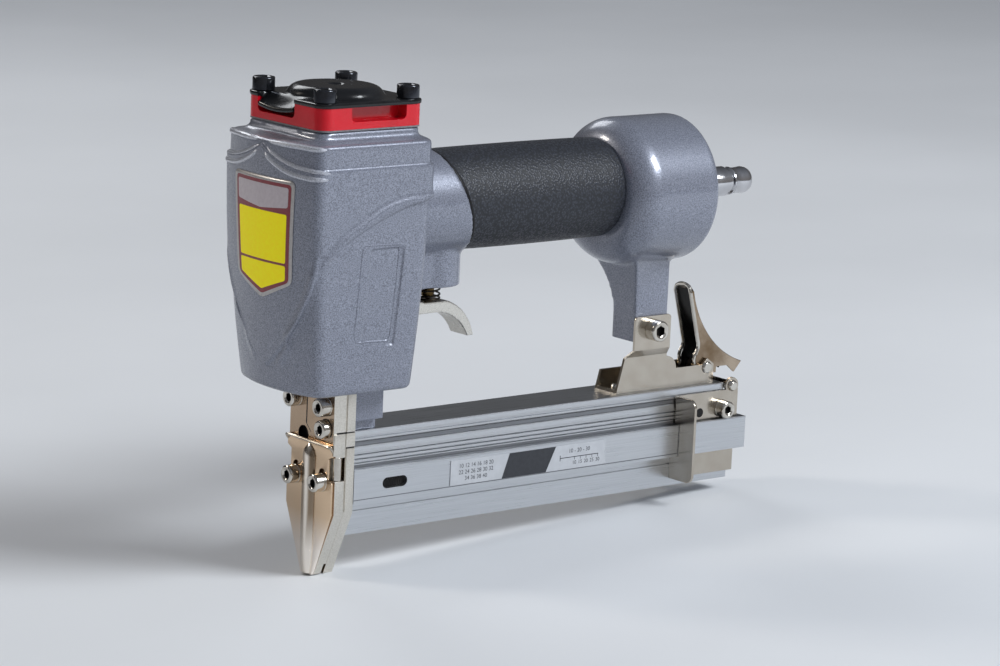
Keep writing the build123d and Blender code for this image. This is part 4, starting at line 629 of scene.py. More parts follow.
def stand_in(bm, node):
    """A finished mesh in a CAD node's place, with its body and finish."""
    made = nodes[node].data.materials[0]
    piece = add_piece(bm, node + "_dressed", made, nodes[node]["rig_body"])
    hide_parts(node)
    return piece


def bevel(bm, edges, width_mm):
    """Edges of a mesh rounded to a width."""
    bmesh.ops.bevel(
        bm,
        geom=edges,
        offset=width_mm * MM,
        offset_type="OFFSET",
        affect="EDGES",
        segments=BEVEL_STEPS,
        profile=0.5,
        clamp_overlap=True,
        material=-1,
    )


def soften(node, width_mm):
    """A CAD node with its sharp edges rounded to a width."""
    bm = cad_copy(node)
    bmesh.ops.dissolve_limit(bm, angle_limit=FLAT, verts=bm.verts[:], edges=bm.edges[:])
    bevel(bm, [e for e in bm.edges if e.is_manifold and e.calc_face_angle(0) > CREASE], width_mm)
    piece = stand_in(bm, node)
    piece.modifiers.new("even_light", "WEIGHTED_NORMAL").keep_sharp = True
    return piece


# %% [markdown]
# Each piece has a rounding of its own: wide on thick cast and folded pieces, narrow on
# turned washers and pins.

# %% Rounded edges
EDGE_MM = {
    "cylinder_cap": 0.6,
    "nose_rear_plate": 0.3,
    "driver_guide": 0.3,
    "nose_washers": 0.2,
    "guide_pins": 0.3,
    "trigger_pin": 0.3,
    "fixed_rail": 0.25,
    "slide_magazine": 0.3,
    "left_tail_plate": 0.5,
    "right_tail_plate": 0.5,
    "tail_washers": 0.2,
    "catch_pin": 0.3,
    "rear_bracket": 0.55,
    "bracket_nut": 0.4,
    "bracket_rivets": 0.4,
    "latch_lever": 0.4,
    "latch_pin": 0.3,
    "end_cap": 0.4,
}
rounded = {node: soften(node, width) for node, width in EDGE_MM.items()}
for piece in rounded.values():
    print(piece.name, "has", len(piece.data.polygons), "faces")

# %% [markdown]
# The socket screws are turned: a shank, a head with a rounded rim, a wide chamfered
# mouth and a hexagon socket. Each screw is a stack of rings with the same number of
# points, bridged one to the next, and the socket's rings follow a hexagon. A screw is
# given by its size, the middle of its mouth, the way it is driven and its length.

# %% Socket head screws
RING_POINTS, RIM_STEPS = 48, 4
HEAD_RIM, HEAD_FOOT, SHANK_TIP = 0.75, 0.2, 0.4
MOUTH_WIDER, MOUTH_DEEP = 0.5, 0.45
M4 = (2.0, 3.5, 4.0, 3.0)
M5 = (2.5, 4.25, 5.0, 4.0)
SCREWS = [
    ("upper_nose_screws", M4, (-9.9, -9.9, 57.6), (1, 0, 0), 13.4),
    ("upper_nose_screws", M4, (-9.9, 10.2, 66.2), (1, 0, 0), 21.5),
    ("upper_nose_screws", M4, (-11.2, -10.2, 66.2), (1, 0, 0), 22.8),
    ("lower_nose_screws", M4, (-11.1, 8.2, 37.0), (1, 0, 0), 14.6),
    ("lower_nose_screws", M4, (-11.1, -8.2, 37.0), (1, 0, 0), 14.6),
    ("tail_screws", M4, (191.8, -16.9, 45.4), (0, 1, 0), 9.5),
    ("tail_screws", M4, (191.8, 16.9, 45.4), (0, -1, 0), 9.5),
    ("bracket_screw", M5, (156.2, -13.15, 80.4), (0, 1, 0), 24.05),
]
low, high = box_mm("cap_screws")
for x in (low.x + M5[1], high.x - M5[1]):
    for y in (low.y + M5[1], high.y - M5[1]):
        SCREWS.append(("cap_screws", M5, (x, y, high.z), (0, 0, -1), high.z - low.z))


def bridge(bm, rows, closed=False):
    """Faces from each row of points to the next."""
    for first, second in zip(rows, rows[1:]):
        if closed:
            first, second = first + first[:1], second + second[:1]
        for corners in zip(first, first[1:], second[1:], second):
            bm.faces.new(corners)


def turn_screw(bm, size, mouth, inward, length):
    """A socket head screw from its tip to its socket's floor, sizes in mm."""
    shank, head, height, flats = size
    corner = flats / 2 / cos(pi / 6)
    rings = [(shank - SHANK_TIP, length, False), (shank, length - SHANK_TIP, False)]
    rings += [(shank, height, False), (head - HEAD_FOOT, height, False)]
    rings += [(head, height - HEAD_FOOT, False)]
    for k in range(RIM_STEPS + 1):
        t = pi / 2 * k / RIM_STEPS
        rings.append((head - HEAD_RIM * (1 - cos(t)), HEAD_RIM * (1 - sin(t)), False))
    rings += [(corner + MOUTH_WIDER, 0.0, False)]
    rings += [(flats / 2, MOUTH_DEEP, True), (flats / 2, height / 2, True)]
    aim = Vector(inward).to_track_quat("Z", "Y").to_matrix()
    rows = []
    for radius, depth, hexagonal in rings:
        row = []
        for k in range(RING_POINTS):
            t = 2 * pi * k / RING_POINTS
            r = radius / cos((t + pi / 6) % (pi / 3) - pi / 6) if hexagonal else radius
            place = Vector(mouth) + aim @ Vector((r * cos(t), r * sin(t), depth))
            row.append(bm.verts.new(place * MM))
        rows.append(row)
    bm.faces.new(rows[0])
    bridge(bm, rows, closed=True)
    bm.faces.new(rows[-1])


for node in dict.fromkeys(screw[0] for screw in SCREWS):
    bm = bmesh.new()
    for owner, *screw in SCREWS:
        if owner == node:
            turn_screw(bm, *screw)
    bmesh.ops.recalc_face_normals(bm, faces=bm.faces[:])
    rounded[node] = stand_in(bm, node)
print("screws turned:", len(SCREWS))

# %% [markdown]
# Some pieces carry two finishes. The nose plates are pale at their sides and brown on
# their fronts, which look forward: a painted reflection of a warm room. The relief hole in
# the guide and the hex sockets of the screws are painted near black, a painted shade.

# %% Second finishes
SOCKET_R, SOCKET_MOUTH, SOCKET_DEPTH = 2.4, 0.3, 3.2
RELIEF, RELIEF_R, RELIEF_MOUTH = Vector((-5.1, 6.0, 52.6)), 3.35, 0.1
FRONT_FACING = -0.5


def second_finish(piece, made, belongs):
    """Another material on the faces of a piece that pass a test."""
    if made.name not in piece.data.materials:
        piece.data.materials.append(made)
    place = piece.data.materials.find(made.name)
    for face in piece.data.polygons:
        if belongs(face):
            face.material_index = place


def in_relief(face):
    """Whether a face of the guide lies in its relief hole."""
    reach = face.center / MM - RELIEF
    return reach.x > RELIEF_MOUTH and reach.yz.length < RELIEF_R


def in_socket(face, mouth, inward):
    """Whether a face lies in the socket of a screw."""
    reach = face.center / MM - mouth
    depth = reach.dot(inward)
    return SOCKET_MOUTH < depth < SOCKET_DEPTH and (reach - depth * inward).length < SOCKET_R


# Faces that look forward take a painted reflection of a warm room.
for node in ("driver_guide", "nose_rear_plate"):
    second_finish(rounded[node], front_reflection_nickel, lambda face: face.normal.x < FRONT_FACING)
# Painted shade in the relief hole and in the screw sockets.
second_finish(rounded["driver_guide"], shade_black, in_relief)
for node, _, mouth, inward, _ in SCREWS:
    place, way = Vector(mouth), Vector(inward)
    second_finish(rounded[node], shade_black, lambda face: in_socket(face, place, way))
print("sockets darkened:", len(SCREWS))

# %% [markdown]
# Castings and deep pressings have no crisp edge at all. Their skin is rebuilt as a
# close net of even squares, which rounds every edge by about one square, and is then
# relaxed. The body casting, the trigger and the exhaust plate are made this way, each
# with its own size of square in mm and rounds of relaxing.

# %% Melted skins
RELAX = 0.5
MELT = {"body_casting": (0.75, 2), "trigger": (0.45, 3), "exhaust_plate": (0.5, 2)}


def relax(bm, points):
    """Points of a skin drawn towards the middle of their neighbours."""
    every_way = {"use_axis_x": True, "use_axis_y": True, "use_axis_z": True}
    bmesh.ops.smooth_vert(bm, verts=points, factor=RELAX, **every_way)


def melt(node):
    """A CAD node's skin as an even net with its edges melted round."""
    voxel_mm, rounds = MELT[node]
    bm = cad_copy(node)
    holder = bpy.data.objects.new("melt", bpy.data.meshes.new("melt"))
    bm.to_mesh(holder.data)
    bpy.context.collection.objects.link(holder)
    net = holder.modifiers.new("net", "REMESH")
    net.mode = "VOXEL"
    net.voxel_size = voxel_mm * MM
    bm.clear()
    bm.from_object(holder, bpy.context.evaluated_depsgraph_get())
    spare = holder.data
    bpy.data.objects.remove(holder)
    bpy.data.meshes.remove(spare)
    for _ in range(rounds):
        relax(bm, bm.verts[:])
    bm.normal_update()
    return bm


# %% [markdown]
# Ridges and beads follow paths on the casting. A path is a smooth curve through a few
# points, moved to the nearest places on a skin and evened out a little.

# %% Paths on a skin
PATH_STEPS = 8
EVEN_ROUNDS = 3


def curve_through(points):
    """Points on a smooth curve through the given ones."""
    points = [Vector(p) for p in points]
    padded = [2 * points[0] - points[1]] + points + [2 * points[-1] - points[-2]]
    path = []
    for a, b, c, d in zip(padded, padded[1:], padded[2:], padded[3:]):
        for k in range(PATH_STEPS):
            t = k / PATH_STEPS
            bend = 2 * a - 5 * b + 4 * c - d
            swing = 3 * b - a - 3 * c + d
            path.append((2 * b + (c - a) * t + bend * t**2 + swing * t**3) / 2)
    return path + [points[-1]]


def laid_on(skin, path, sink):
    """A path moved to the nearest places on a skin and sunk below them, in metres."""
    found = []
    for p in path:
        spot, normal, *_ = skin.find_nearest(p * MM)
        found.append(spot - normal * sink * MM)
    for _ in range(EVEN_ROUNDS):
        inner = [(a + 2 * b + c) / 4 for a, b, c in zip(found, found[1:], found[2:])]
        found = [found[0]] + inner + [found[-1]]
    return found


# %% [markdown]
# Melting also softens the creases that the real casting keeps. Along them the net is
# made closer and laid back on the CAD's skin. A ridge is pushed out of the skin where
# a path runs close by.

# %% Creases and ridges
BORE_REACH = 26.0
RIDGE_REACH = 3


def search_tree(points):
    """Points in a tree that finds the nearest one."""
    tree = KDTree(len(points))
    for k, point in enumerate(points):
        tree.insert(point, k)
    tree.balance()
    return tree


def sharpen(bm, node, low, high, reach_mm):
    """A closer net along a CAD node's creases inside a box, laid back on its skin."""
    cad = cad_copy(node)
    skin = BVHTree.FromBMesh(cad)
    marks = []
    for e in cad.edges:
        a, b = (v.co for v in e.verts)
        middle = (a + b) / 2 / MM
        inside = all(low[k] < middle[k] < high[k] for k in range(3))
        seen = inside and middle.xy.length > BORE_REACH
        if seen and e.is_manifold and e.calc_face_angle(0) > CREASE:
            steps = max(round(e.calc_length() / (reach_mm * MM)), 1)
            marks += [a.lerp(b, k / steps) for k in range(steps + 1)]
    tree = search_tree(marks)
    cad.free()
    near = [f for f in bm.faces if tree.find(f.calc_center_median())[2] < reach_mm * MM]
    edges = list({e for f in near for e in f.edges})
    bmesh.ops.subdivide_edges(bm, edges=edges, cuts=1, use_grid_fill=True)
    moved = [v for v in bm.verts if tree.find(v.co)[2] < reach_mm * MM]
    for v in moved:
        v.co = skin.find_nearest(v.co)[0]
    relax(bm, moved)
    bm.normal_update()
    return len(moved)


def raise_along(bm, path, rise_mm, width_mm):
    """A soft ridge pushed out of a skin along a path, sizes in mm."""
    tree = search_tree(path)
    for v in bm.verts:
        gap = tree.find(v.co / MM)[2]
        if gap < RIDGE_REACH * width_mm:
            v.co += v.normal * rise_mm * MM * exp(-((gap / width_mm) ** 2))
    bm.normal_update()


# %% [markdown]
# A wave runs over each side of the head as a low ridge, and a hollow cove lies between
# the neck and the shoulder, pushed into the melted skin point by point. The skin is
# then parted under the grip and at the mouths of the bores, where no one sees it, into
# three lighter meshes.

# %% Body casting
HANDLE_Z = 138.8
TUBE_REACH, INWARD = 16.0, 0.3
SHOULDER_Z, NECK_Z = 166.6, 170.4
COVE_DEPTH, COVE_LEAN = 1.1, 1.7
CREASE_LOW, CREASE_HIGH, CREASE_REACH = (-60, -60, 78), (27, 60, 166), 1.3
WAVE_RISE, WAVE_WIDTH = 0.8, 1.5
WAVE = [
    (24.7, -28.7, 146.1), (18.1, -28.7, 145.5), (10.8, -28.7, 144.7), (1.8, -28.7, 142.1),
    (-6.5, -28.7, 137.7), (-16.0, -28.9, 132.0), (-22.4, -29.0, 125.5), (-27.1, -28.2, 119.5),
    (-28.0, -26.1, 112.8), (-29.0, -22.8, 105.5), (-30.0, -19.2, 98.6), (-31.0, -14.8, 92.1),
    (-31.9, -8.5, 84.6),
]
PART_X = 92.0


def share_of(face):
    """Which of the casting's meshes a face goes to: its bell, its hidden bores or its head."""
    middle, way = face.calc_center_median() / MM, face.normal

    def looks_in(arm, reach):
        return arm.length < reach and way.dot(arm) < -INWARD * arm.length

    if middle.x > PART_X:
        return "bell"
    in_bore = looks_in(Vector((middle.x, middle.y, 0)), BORE_REACH)
    in_tube = looks_in(Vector((0, middle.y, middle.z - HANDLE_Z)), TUBE_REACH)
    return "bore" if in_bore or (in_tube and middle.x > BORE_REACH) else "head"


casting = melt("body_casting")
creased = sharpen(casting, "body_casting", CREASE_LOW, CREASE_HIGH, CREASE_REACH)
print("points along the creases", creased)
smooth_skin = BVHTree.FromBMesh(casting)
wave = [p / MM for p in laid_on(smooth_skin, curve_through(WAVE), 0.0)]
raise_along(casting, wave, WAVE_RISE, WAVE_WIDTH)
raise_along(casting, [(x, -y, z) for x, y, z in wave], WAVE_RISE / 2, WAVE_WIDTH)
for v in casting.verts:
    x, y, z = v.co / MM
    faces_out = v.normal.x * x + v.normal.y * y > 0
    if SHOULDER_Z < z < NECK_Z and faces_out:
        share = (z - SHOULDER_Z) / (NECK_Z - SHOULDER_Z)
        v.co -= v.normal * COVE_DEPTH * MM * sin(pi * share**COVE_LEAN)
casting.normal_update()
casting_skin = BVHTree.FromBMesh(casting)
for share in ("head", "bell", "bore"):
    part = casting.copy()
    away = [f for f in part.faces if share_of(f) != share]
    bmesh.ops.delete(part, geom=away, context="FACES")
    print("casting", share, "has", sum(len(f.verts) - 2 for f in part.faces), "triangles")
    if share == "head":
        stand_in(part, "body_casting")
    else:
        add_piece(part, "casting_" + share, grey_enamel, "frame")
casting.free()

# %% [markdown]
# Raised beads run from the peak of the head's front back round its corners, like a
# collar. Each is a thin round bar swept along a path that is laid on the casting's
# skin and sunk into it, with its ends drawn out to nothing.

# %% Collar beads
BEAD_R, BEAD_SINK = 1.1, 0.45
BAR_ROUNDNESS = 3
DRAWN_OUT = 2 * PATH_STEPS
BEADS = {
    "ridge": [
        (-32.4, 0.6, 166.3), (-32.3, 4.0, 166.4), (-31.3, 12.9, 166.4), (-29.4, 21.6, 166.3),
        (-27.6, 27.0, 166.1), (-25.0, 29.0, 166.0), (-21.0, 29.4, 166.0),
    ],
    "upper": [
        (-32.4, 0.6, 165.2), (-32.2, 3.0, 164.0), (-32.1, 6.3, 162.4), (-31.5, 11.8, 160.4),
        (-30.6, 16.7, 159.0), (-29.6, 20.6, 158.3), (-28.5, 25.0, 158.0), (-27.5, 27.6, 157.9),
        (-24.5, 29.6, 157.9), (-20.0, 29.8, 157.9),
    ],
    "lower": [
        (-32.4, 1.2, 163.4), (-32.3, 2.8, 162.0), (-32.2, 4.8, 160.5), (-31.8, 9.6, 158.2),
        (-31.0, 14.7, 156.5), (-29.9, 19.5, 155.7), (-28.6, 24.5, 155.3), (-27.5, 27.6, 155.3),
        (-24.5, 29.6, 155.3), (-21.0, 29.8, 155.3),
    ],
}


def ramp(value, start, end):
    """0 before start, 1 after end, and smooth between."""
    share = min(max((value - start) / (end - start), 0.0), 1.0)
    return share * share * (3 - 2 * share)


def sweep(path, radius, thin):
    """A round bar along a path in metres, drawn thin over some points at both ends."""
    line = bpy.data.curves.new("path", "CURVE")
    line.dimensions = "3D"
    line.bevel_depth = radius * MM
    line.bevel_resolution = BAR_ROUNDNESS
    line.use_fill_caps = True
    spline = line.splines.new("POLY")
    spline.points.add(len(path) - 1)
    for k, (point, place) in enumerate(zip(spline.points, path)):
        point.co = (*place, 1.0)
        point.radius = ramp(min(k, len(path) - 1 - k), -1, thin)
    holder = bpy.data.objects.new("path", line)
    bpy.context.collection.objects.link(holder)
    bm = bmesh.new()
    bm.from_mesh(holder.evaluated_get(bpy.context.evaluated_depsgraph_get()).to_mesh())
    bpy.data.objects.remove(holder)
    bpy.data.curves.remove(line)
    return bm


def lay_bead(name, path, sink, radius, thin, made):
    """A round bar that lies on the casting along a path in mm."""
    bead = sweep(laid_on(casting_skin, path, sink), radius, thin)
    return add_piece(bead, name, made, "frame")


# The beads take the paler enamel, a painted highlight.
for label, points in BEADS.items():
    for side, word in SIDES:
        path = curve_through([(x, side * y, z) for x, y, z in points])
        lay_bead(f"collar_bead_{label}_{word}", path, BEAD_SINK, BEAD_R, DRAWN_OUT, bead_highlight_enamel)
print("collar beads:", len(SIDES) * len(BEADS))

# %% [markdown]
# Where the wave comes round to the front of the head it stands out further, so a bead
# is laid on the last part of its path. The right one lies deeper.

# %% Front of the wave
FRONT_WAVE_FROM, FRONT_WAVE_R = 6, 0.95
FRONT_WAVE_SINKS = (0.52, 0.85)

for (side, word), sink in zip(SIDES, FRONT_WAVE_SINKS):
    path = curve_through([(x, -side * y, z) for x, y, z in WAVE[FRONT_WAVE_FROM:]])
    lay_bead("wave_bead_" + word, path, sink, FRONT_WAVE_R, DRAWN_OUT, grey_enamel)
print("wave beads have", len(path), "points")

# %% [markdown]
# A fine raised rim frames the bare panel on each side of the head. Its path goes round
# the four corners and cuts each of them a little.

# %% Panel rims
PANEL = [(-6.3, 27.8, 129.7), (11.1, 27.8, 129.2), (9.2, 27.8, 92.5), (-7.9, 27.8, 93.3)]
PANEL_R, PANEL_SINK, PANEL_STEPS, PANEL_CORNER = 0.5, 0.28, 40, 1.2

for side, word in SIDES:
    corners = [Vector((x, side * y, z)) for x, y, z in PANEL]
    path = []
    for a, b in zip(corners, corners[1:] + corners[:1]):
        way = (b - a).normalized() * PANEL_CORNER
        path += [(a + way).lerp(b - way, k / PANEL_STEPS) for k in range(PANEL_STEPS + 1)]
    path.append(path[0])
    lay_bead("panel_rim_" + word, path, PANEL_SINK, PANEL_R, 1, grey_enamel)
print("panel rim points", len(path))

# %% [markdown]
# A plain shield plate sits on the front where the real tool has a printed one. It has
# a silver rim, a dark red frame and bare fields, with no words or signs on it. Its
# yellow ink carries a faint painted glow, an emission that makes it brighter than its light.

# %% Shield inks
YELLOW_PAINTED_GLOW = 0.09
LACQUER = {"Coat_Weight": 0.4, "Coat_Roughness": 0.15}

silver_film = recipe(
    "silver_film", grain_group, 900, (176, 173, 172), (190, 187, 185), (0.32, 0.42),
    Metallic=0.6, Coat_Weight=0.3,
)
frame_ink = recipe("frame_ink", grain_group, 700, (126, 42, 52), (136, 48, 58), **LACQUER)
pale_ink = recipe("pale_ink", grain_group, 700, (188, 178, 184), (196, 187, 192), **LACQUER)
# Painted glow: the yellow gives out a little light of its own.
yellow_ink = recipe(
    "yellow_ink", grain_group, 700, (250, 234, 6), (254, 240, 14),
    Specular_IOR_Level=0.3, Emission_Color=rgb(255, 236, 10), Emission_Strength=YELLOW_PAINTED_GLOW,
)
print("finishes:", len(bpy.data.materials))

# %% [markdown]
# Each layer of the shield is a flat outline with rounded corners. It is cut into small
# triangles and then pressed on the bowed front, one layer a little above the other.

# %% Shield plate
SHIELD_MID = -1.0
SHIELD_TOP, SHIELD_LOW, SHIELD_TIP = 153.6, 115.3, 108.0
SHIELD_HALF_TOP, SHIELD_HALF_LOW = 18.3, 16.4
SHIELD_CORNER, LEAST_CORNER, CORNER_STEPS = 2.4, 0.6, 4
FRAME_IN, TOP_IN, FIELD_IN = 1.5, 2.8, 3.2
FOOT_RISE, TIP_RISE = 1 / 3, 1.1
FIELD_SPLIT_LOW, FIELD_SPLIT_HIGH, FIELD_SAG = 140.9, 143.4, 1.6
FOOT_SPLIT_LOW, FOOT_SPLIT_HIGH = 121.8, 122.7
RIM_LIFT, FRAME_LIFT, FIELD_LIFT, RIM_THICK = 0.30, 0.34, 0.38, 0.28
TRIANGLE_MM, TRIANGLE_ROUNDS = 2.2, 5
RAY_FROM = -60.0


def round_off(corners, radius):
    """An outline with each corner cut back and rounded."""
    made = []
    corners = [Vector(c) for c in corners]
    for a, b, c in zip(corners[-1:] + corners[:-1], corners, corners[1:] + corners[:1]):
        cut = min(radius, (a - b).length / 2, (c - b).length / 2)
        start, end = b + (a - b).normalized() * cut, b + (c - b).normalized() * cut
        for k in range(CORNER_STEPS + 1):
            t = k / CORNER_STEPS
            made.append(start * (1 - t) ** 2 + b * 2 * t * (1 - t) + end * t**2)
    return made


def press_on(name, outline, lift_mm, made):
    """A thin film of a given outline, across and up in mm, pressed on the front."""
    bm = bmesh.new()
    bm.faces.new([bm.verts.new((RAY_FROM, p[0], p[1])) for p in outline])
    bmesh.ops.triangulate(bm, faces=bm.faces[:])
    for _ in range(TRIANGLE_ROUNDS):
        long = [e for e in bm.edges if e.calc_length() > TRIANGLE_MM]
        bmesh.ops.subdivide_edges(bm, edges=long, cuts=1)
        bmesh.ops.triangulate(bm, faces=bm.faces[:])
    for v in bm.verts:
        spot, *_ = casting_skin.ray_cast(v.co * MM, Vector((1, 0, 0)))
        v.co = spot - Vector((lift_mm * MM, 0, 0))
    bm.normal_update()
    wrong = [f for f in bm.faces if f.normal.x > 0]
    bmesh.ops.reverse_faces(bm, faces=wrong)
    return add_piece(bm, name, made, "frame")


def shield(inset, top, low, sag=0.0):
    """The shield's outline, drawn in by a margin, from one height to another or the tip."""

    def half(z):
        share = (z - SHIELD_LOW) / (SHIELD_TOP - SHIELD_LOW)
        return SHIELD_HALF_LOW + (SHIELD_HALF_TOP - SHIELD_HALF_LOW) * share - inset

    to_tip = low is None
    foot = SHIELD_LOW + inset * FOOT_RISE if to_tip else low
    tip = SHIELD_TIP + inset * TIP_RISE if to_tip else low - sag
    corners = [(SHIELD_MID - half(top), top), (SHIELD_MID + half(top), top)]
    corners += [(SHIELD_MID + half(foot), foot), (SHIELD_MID, tip), (SHIELD_MID - half(foot), foot)]
    return round_off(corners, max(SHIELD_CORNER - inset / 2, LEAST_CORNER))


rim = press_on("shield_rim", shield(0.0, SHIELD_TOP, None), RIM_LIFT, silver_film)
rim.modifiers.new("film", "SOLIDIFY").thickness = RIM_THICK * MM
press_on("shield_frame", shield(FRAME_IN, SHIELD_TOP - FRAME_IN, None), FRAME_LIFT, frame_ink)
top_field = shield(TOP_IN, SHIELD_TOP - TOP_IN, FIELD_SPLIT_HIGH, FIELD_SAG)
press_on("shield_top", top_field, FIELD_LIFT, pale_ink)
press_on("shield_field", shield(FIELD_IN, FIELD_SPLIT_LOW, FOOT_SPLIT_HIGH), FIELD_LIFT, yellow_ink)
press_on("shield_foot", shield(FIELD_IN, FOOT_SPLIT_LOW, None), FIELD_LIFT, yellow_ink)
print("shield layers pressed on, rim faces", len(rim.data.polygons))

# %% [markdown]
# The size plate on the magazine carries print only where the real one does, and the
# print says nothing: a slanted black block and a rule with plain numbers. The print
# is thin flat ink just above the plate.

# %% Print on the size plate
PRINT_LIFT = 0.03
BLOCK_LOW, BLOCK_HIGH = (75.4, 97.6), (79.0, 102.4)
RULE_FROM, RULE_TO, RULE_Z, RULE_THICK = 104.6, 124.4, 34.6, 0.3
RULE_TICKS, TICK_LONG, TICK_THICK = (112.0, 115.0, 118.0, 121.0, 124.0), 1.0, 0.25
FIRST_NUMBER, NUMBER_STEP = 10, 5
NUMBER_MM, NUMBER_X, NUMBER_Z = 2.1, 0.1, -2.2
ROWS = (("10 12 14 16 18 20", 37.4), ("22 24 26 28 30 32", 34.9), ("34 36 38 40", 32.4))
ROWS_X, ROW_NUMBER_MM = 62.5, NUMBER_MM * 1.1
SPAN, SPAN_Z = "10 - 20 - 30", 2.6

black_ink = recipe(
    "black_ink", grain_group, 600, (30, 33, 40), (38, 41, 48), (0.3, 0.4),
    Coat_Weight=0.3, Coat_Roughness=0.2,
)
grey_ink = recipe("grey_ink", grain_group, 600, (40, 43, 50), (52, 55, 62))
label_low, label_high = box_mm("size_label")
print_y = label_low.y - PRINT_LIFT


def flat_patch(bm, low_x, high_x, low_z, high_z):
    """One flat face on the plate, between two pairs of ends and two heights, in mm."""
    corners = [(low_x[0], low_z), (low_x[1], low_z), (high_x[1], high_z), (high_x[0], high_z)]
    bm.faces.new([bm.verts.new(Vector((x, print_y, z)) * MM) for x, z in corners])


def upright(bm, x0, x1, z0, z1):
    """One flat face on the plate with upright ends."""
    flat_patch(bm, (x0, x1), (x0, x1), z0, z1)


def figures(bm, words, x, z, size):
    """Plain figures as flat mesh on the plate, centred on a place in mm."""
    text = bpy.data.curves.new("figures", "FONT")
    text.body = words
    text.size = size * MM
    text.align_x, text.align_y = "CENTER", "CENTER"
    holder = bpy.data.objects.new("figures", text)
    bpy.context.collection.objects.link(holder)
    laid_out = holder.evaluated_get(bpy.context.evaluated_depsgraph_get())
    flat = bpy.data.meshes.new_from_object(laid_out)
    flat.transform(Matrix.Translation(Vector((x, print_y, z)) * MM) @ Matrix.Rotation(pi / 2, 4, "X"))
    bm.from_mesh(flat)
    bpy.data.objects.remove(holder)
    bpy.data.curves.remove(text)
    bpy.data.meshes.remove(flat)


bm = bmesh.new()
flat_patch(bm, BLOCK_LOW, BLOCK_HIGH, label_low.z, label_high.z)
block = add_piece(bm, "size_plate_block", black_ink, "magazine")

bm = bmesh.new()
upright(bm, RULE_FROM, RULE_TO, RULE_Z, RULE_Z + RULE_THICK)
upright(bm, RULE_FROM, RULE_FROM + RULE_THICK, RULE_Z - TICK_LONG, RULE_Z + RULE_THICK + TICK_LONG)
for number, x in enumerate(RULE_TICKS):
    upright(bm, x, x + TICK_THICK, RULE_Z - TICK_LONG, RULE_Z)
    words = str(FIRST_NUMBER + NUMBER_STEP * number)
    figures(bm, words, x + NUMBER_X, RULE_Z + NUMBER_Z, NUMBER_MM)
for words, z in ROWS:
    figures(bm, words, ROWS_X, z, ROW_NUMBER_MM)
figures(bm, SPAN, (RULE_FROM + RULE_TO) / 2, RULE_Z + SPAN_Z, ROW_NUMBER_MM)
rule = add_piece(bm, "size_plate_rule", grey_ink, "magazine")
print("print on the size plate:", len(block.data.polygons) + len(rule.data.polygons), "faces")

# %% [markdown]
# The trigger and the exhaust plate are melted too. The plate's scoop sags in the middle
# of its front edge, more the further forward it goes.

# %% Trigger and exhaust plate
SCOOP_ROOT_X, SCOOP_TIP_X = -18.6, -24.3
SCOOP_MID, SCOOP_HALF, SCOOP_SAG = 4.4, 11.0, 1.2

stand_in(melt("trigger"), "trigger")

bm = melt("exhaust_plate")
for v in bm.verts:
    x, y, z = v.co / MM
    down = ramp(-x, -SCOOP_ROOT_X, -SCOOP_TIP_X)
    bow = max(1 - ((y - SCOOP_MID) / SCOOP_HALF) ** 2, 0.0)
    v.co.z -= SCOOP_SAG * MM * down * bow
plate = stand_in(bm, "exhaust_plate")
print("exhaust plate faces", len(plate.data.polygons))

# %% [markdown]
# The grip is a rubber tube pulled over the handle. A cross section with a thin lip at
# its front is spun round the handle's axis, and the front is then slanted and cut
# round the trigger valve, as the CAD sleeve is.

# %% Grip
GRIP_R, GRIP_BORE_R = 19.6, 16.35
GRIP_FRONT_X, GRIP_TILT = 50.0, radians(18.7)
GRIP_TURNS = 128
VALVE_X, VALVE_BOSS_R = 47.0, 12.1
GRIP_STATIONS, GRIP_CROWN = 12, 0.25
GRIP_LIP = 1.6
FRONT_PROFILE = [(0.0, 0.0), (0.25, 0.45), (0.7, 0.6), (1.2, 0.45), (GRIP_LIP, 0.0), (2.4, -0.1)]
REAR_PROFILE = [(-1.2, -0.05), (-0.4, -0.4), (0.0, -1.2)]


def loop(bm, points):
    """A closed ring of edges through points in mm."""
    ring = [bm.verts.new(Vector(p) * MM) for p in points]
    return [bm.edges.new(pair) for pair in zip(ring, ring[1:] + ring[:1])]


def spin_section(section, axis_z, turns):
    """A closed section, along and out in mm, spun round a level axis at a height."""
    bm = bmesh.new()
    loop(bm, [(x, 0, axis_z + r) for x, r in section])
    bmesh.ops.spin(
        bm,
        geom=bm.verts[:] + bm.edges[:],
        cent=(0, 0, axis_z * MM),
        axis=(1, 0, 0),
        angle=2 * pi,
        steps=turns,
        use_merge=True,
    )
    bmesh.ops.remove_doubles(bm, verts=bm.verts[:], dist=MERGE_MM * MM)
    return bm


def slanted_front(z):
    """Where the grip's front is at a height."""
    return GRIP_FRONT_X - (z - HANDLE_Z) * tan(GRIP_TILT)


def on_lip(face):
    """Whether a face belongs to the smooth lip at the grip's front."""
    middle = face.center / MM
    return middle.x < slanted_front(middle.z) + GRIP_LIP


grip_rear = box_mm("grip_sleeve")[1].x
grip_length = grip_rear - GRIP_FRONT_X
outline = [(0.0, GRIP_BORE_R)] + [(x, GRIP_R + rise) for x, rise in FRONT_PROFILE]
for k in range(1, GRIP_STATIONS):
    share = k / GRIP_STATIONS
    outline.append((grip_length * share, GRIP_R + GRIP_CROWN * sin(pi * share)))
outline += [(grip_length + x, GRIP_R + rise) for x, rise in REAR_PROFILE]
outline.append((grip_length, GRIP_BORE_R))

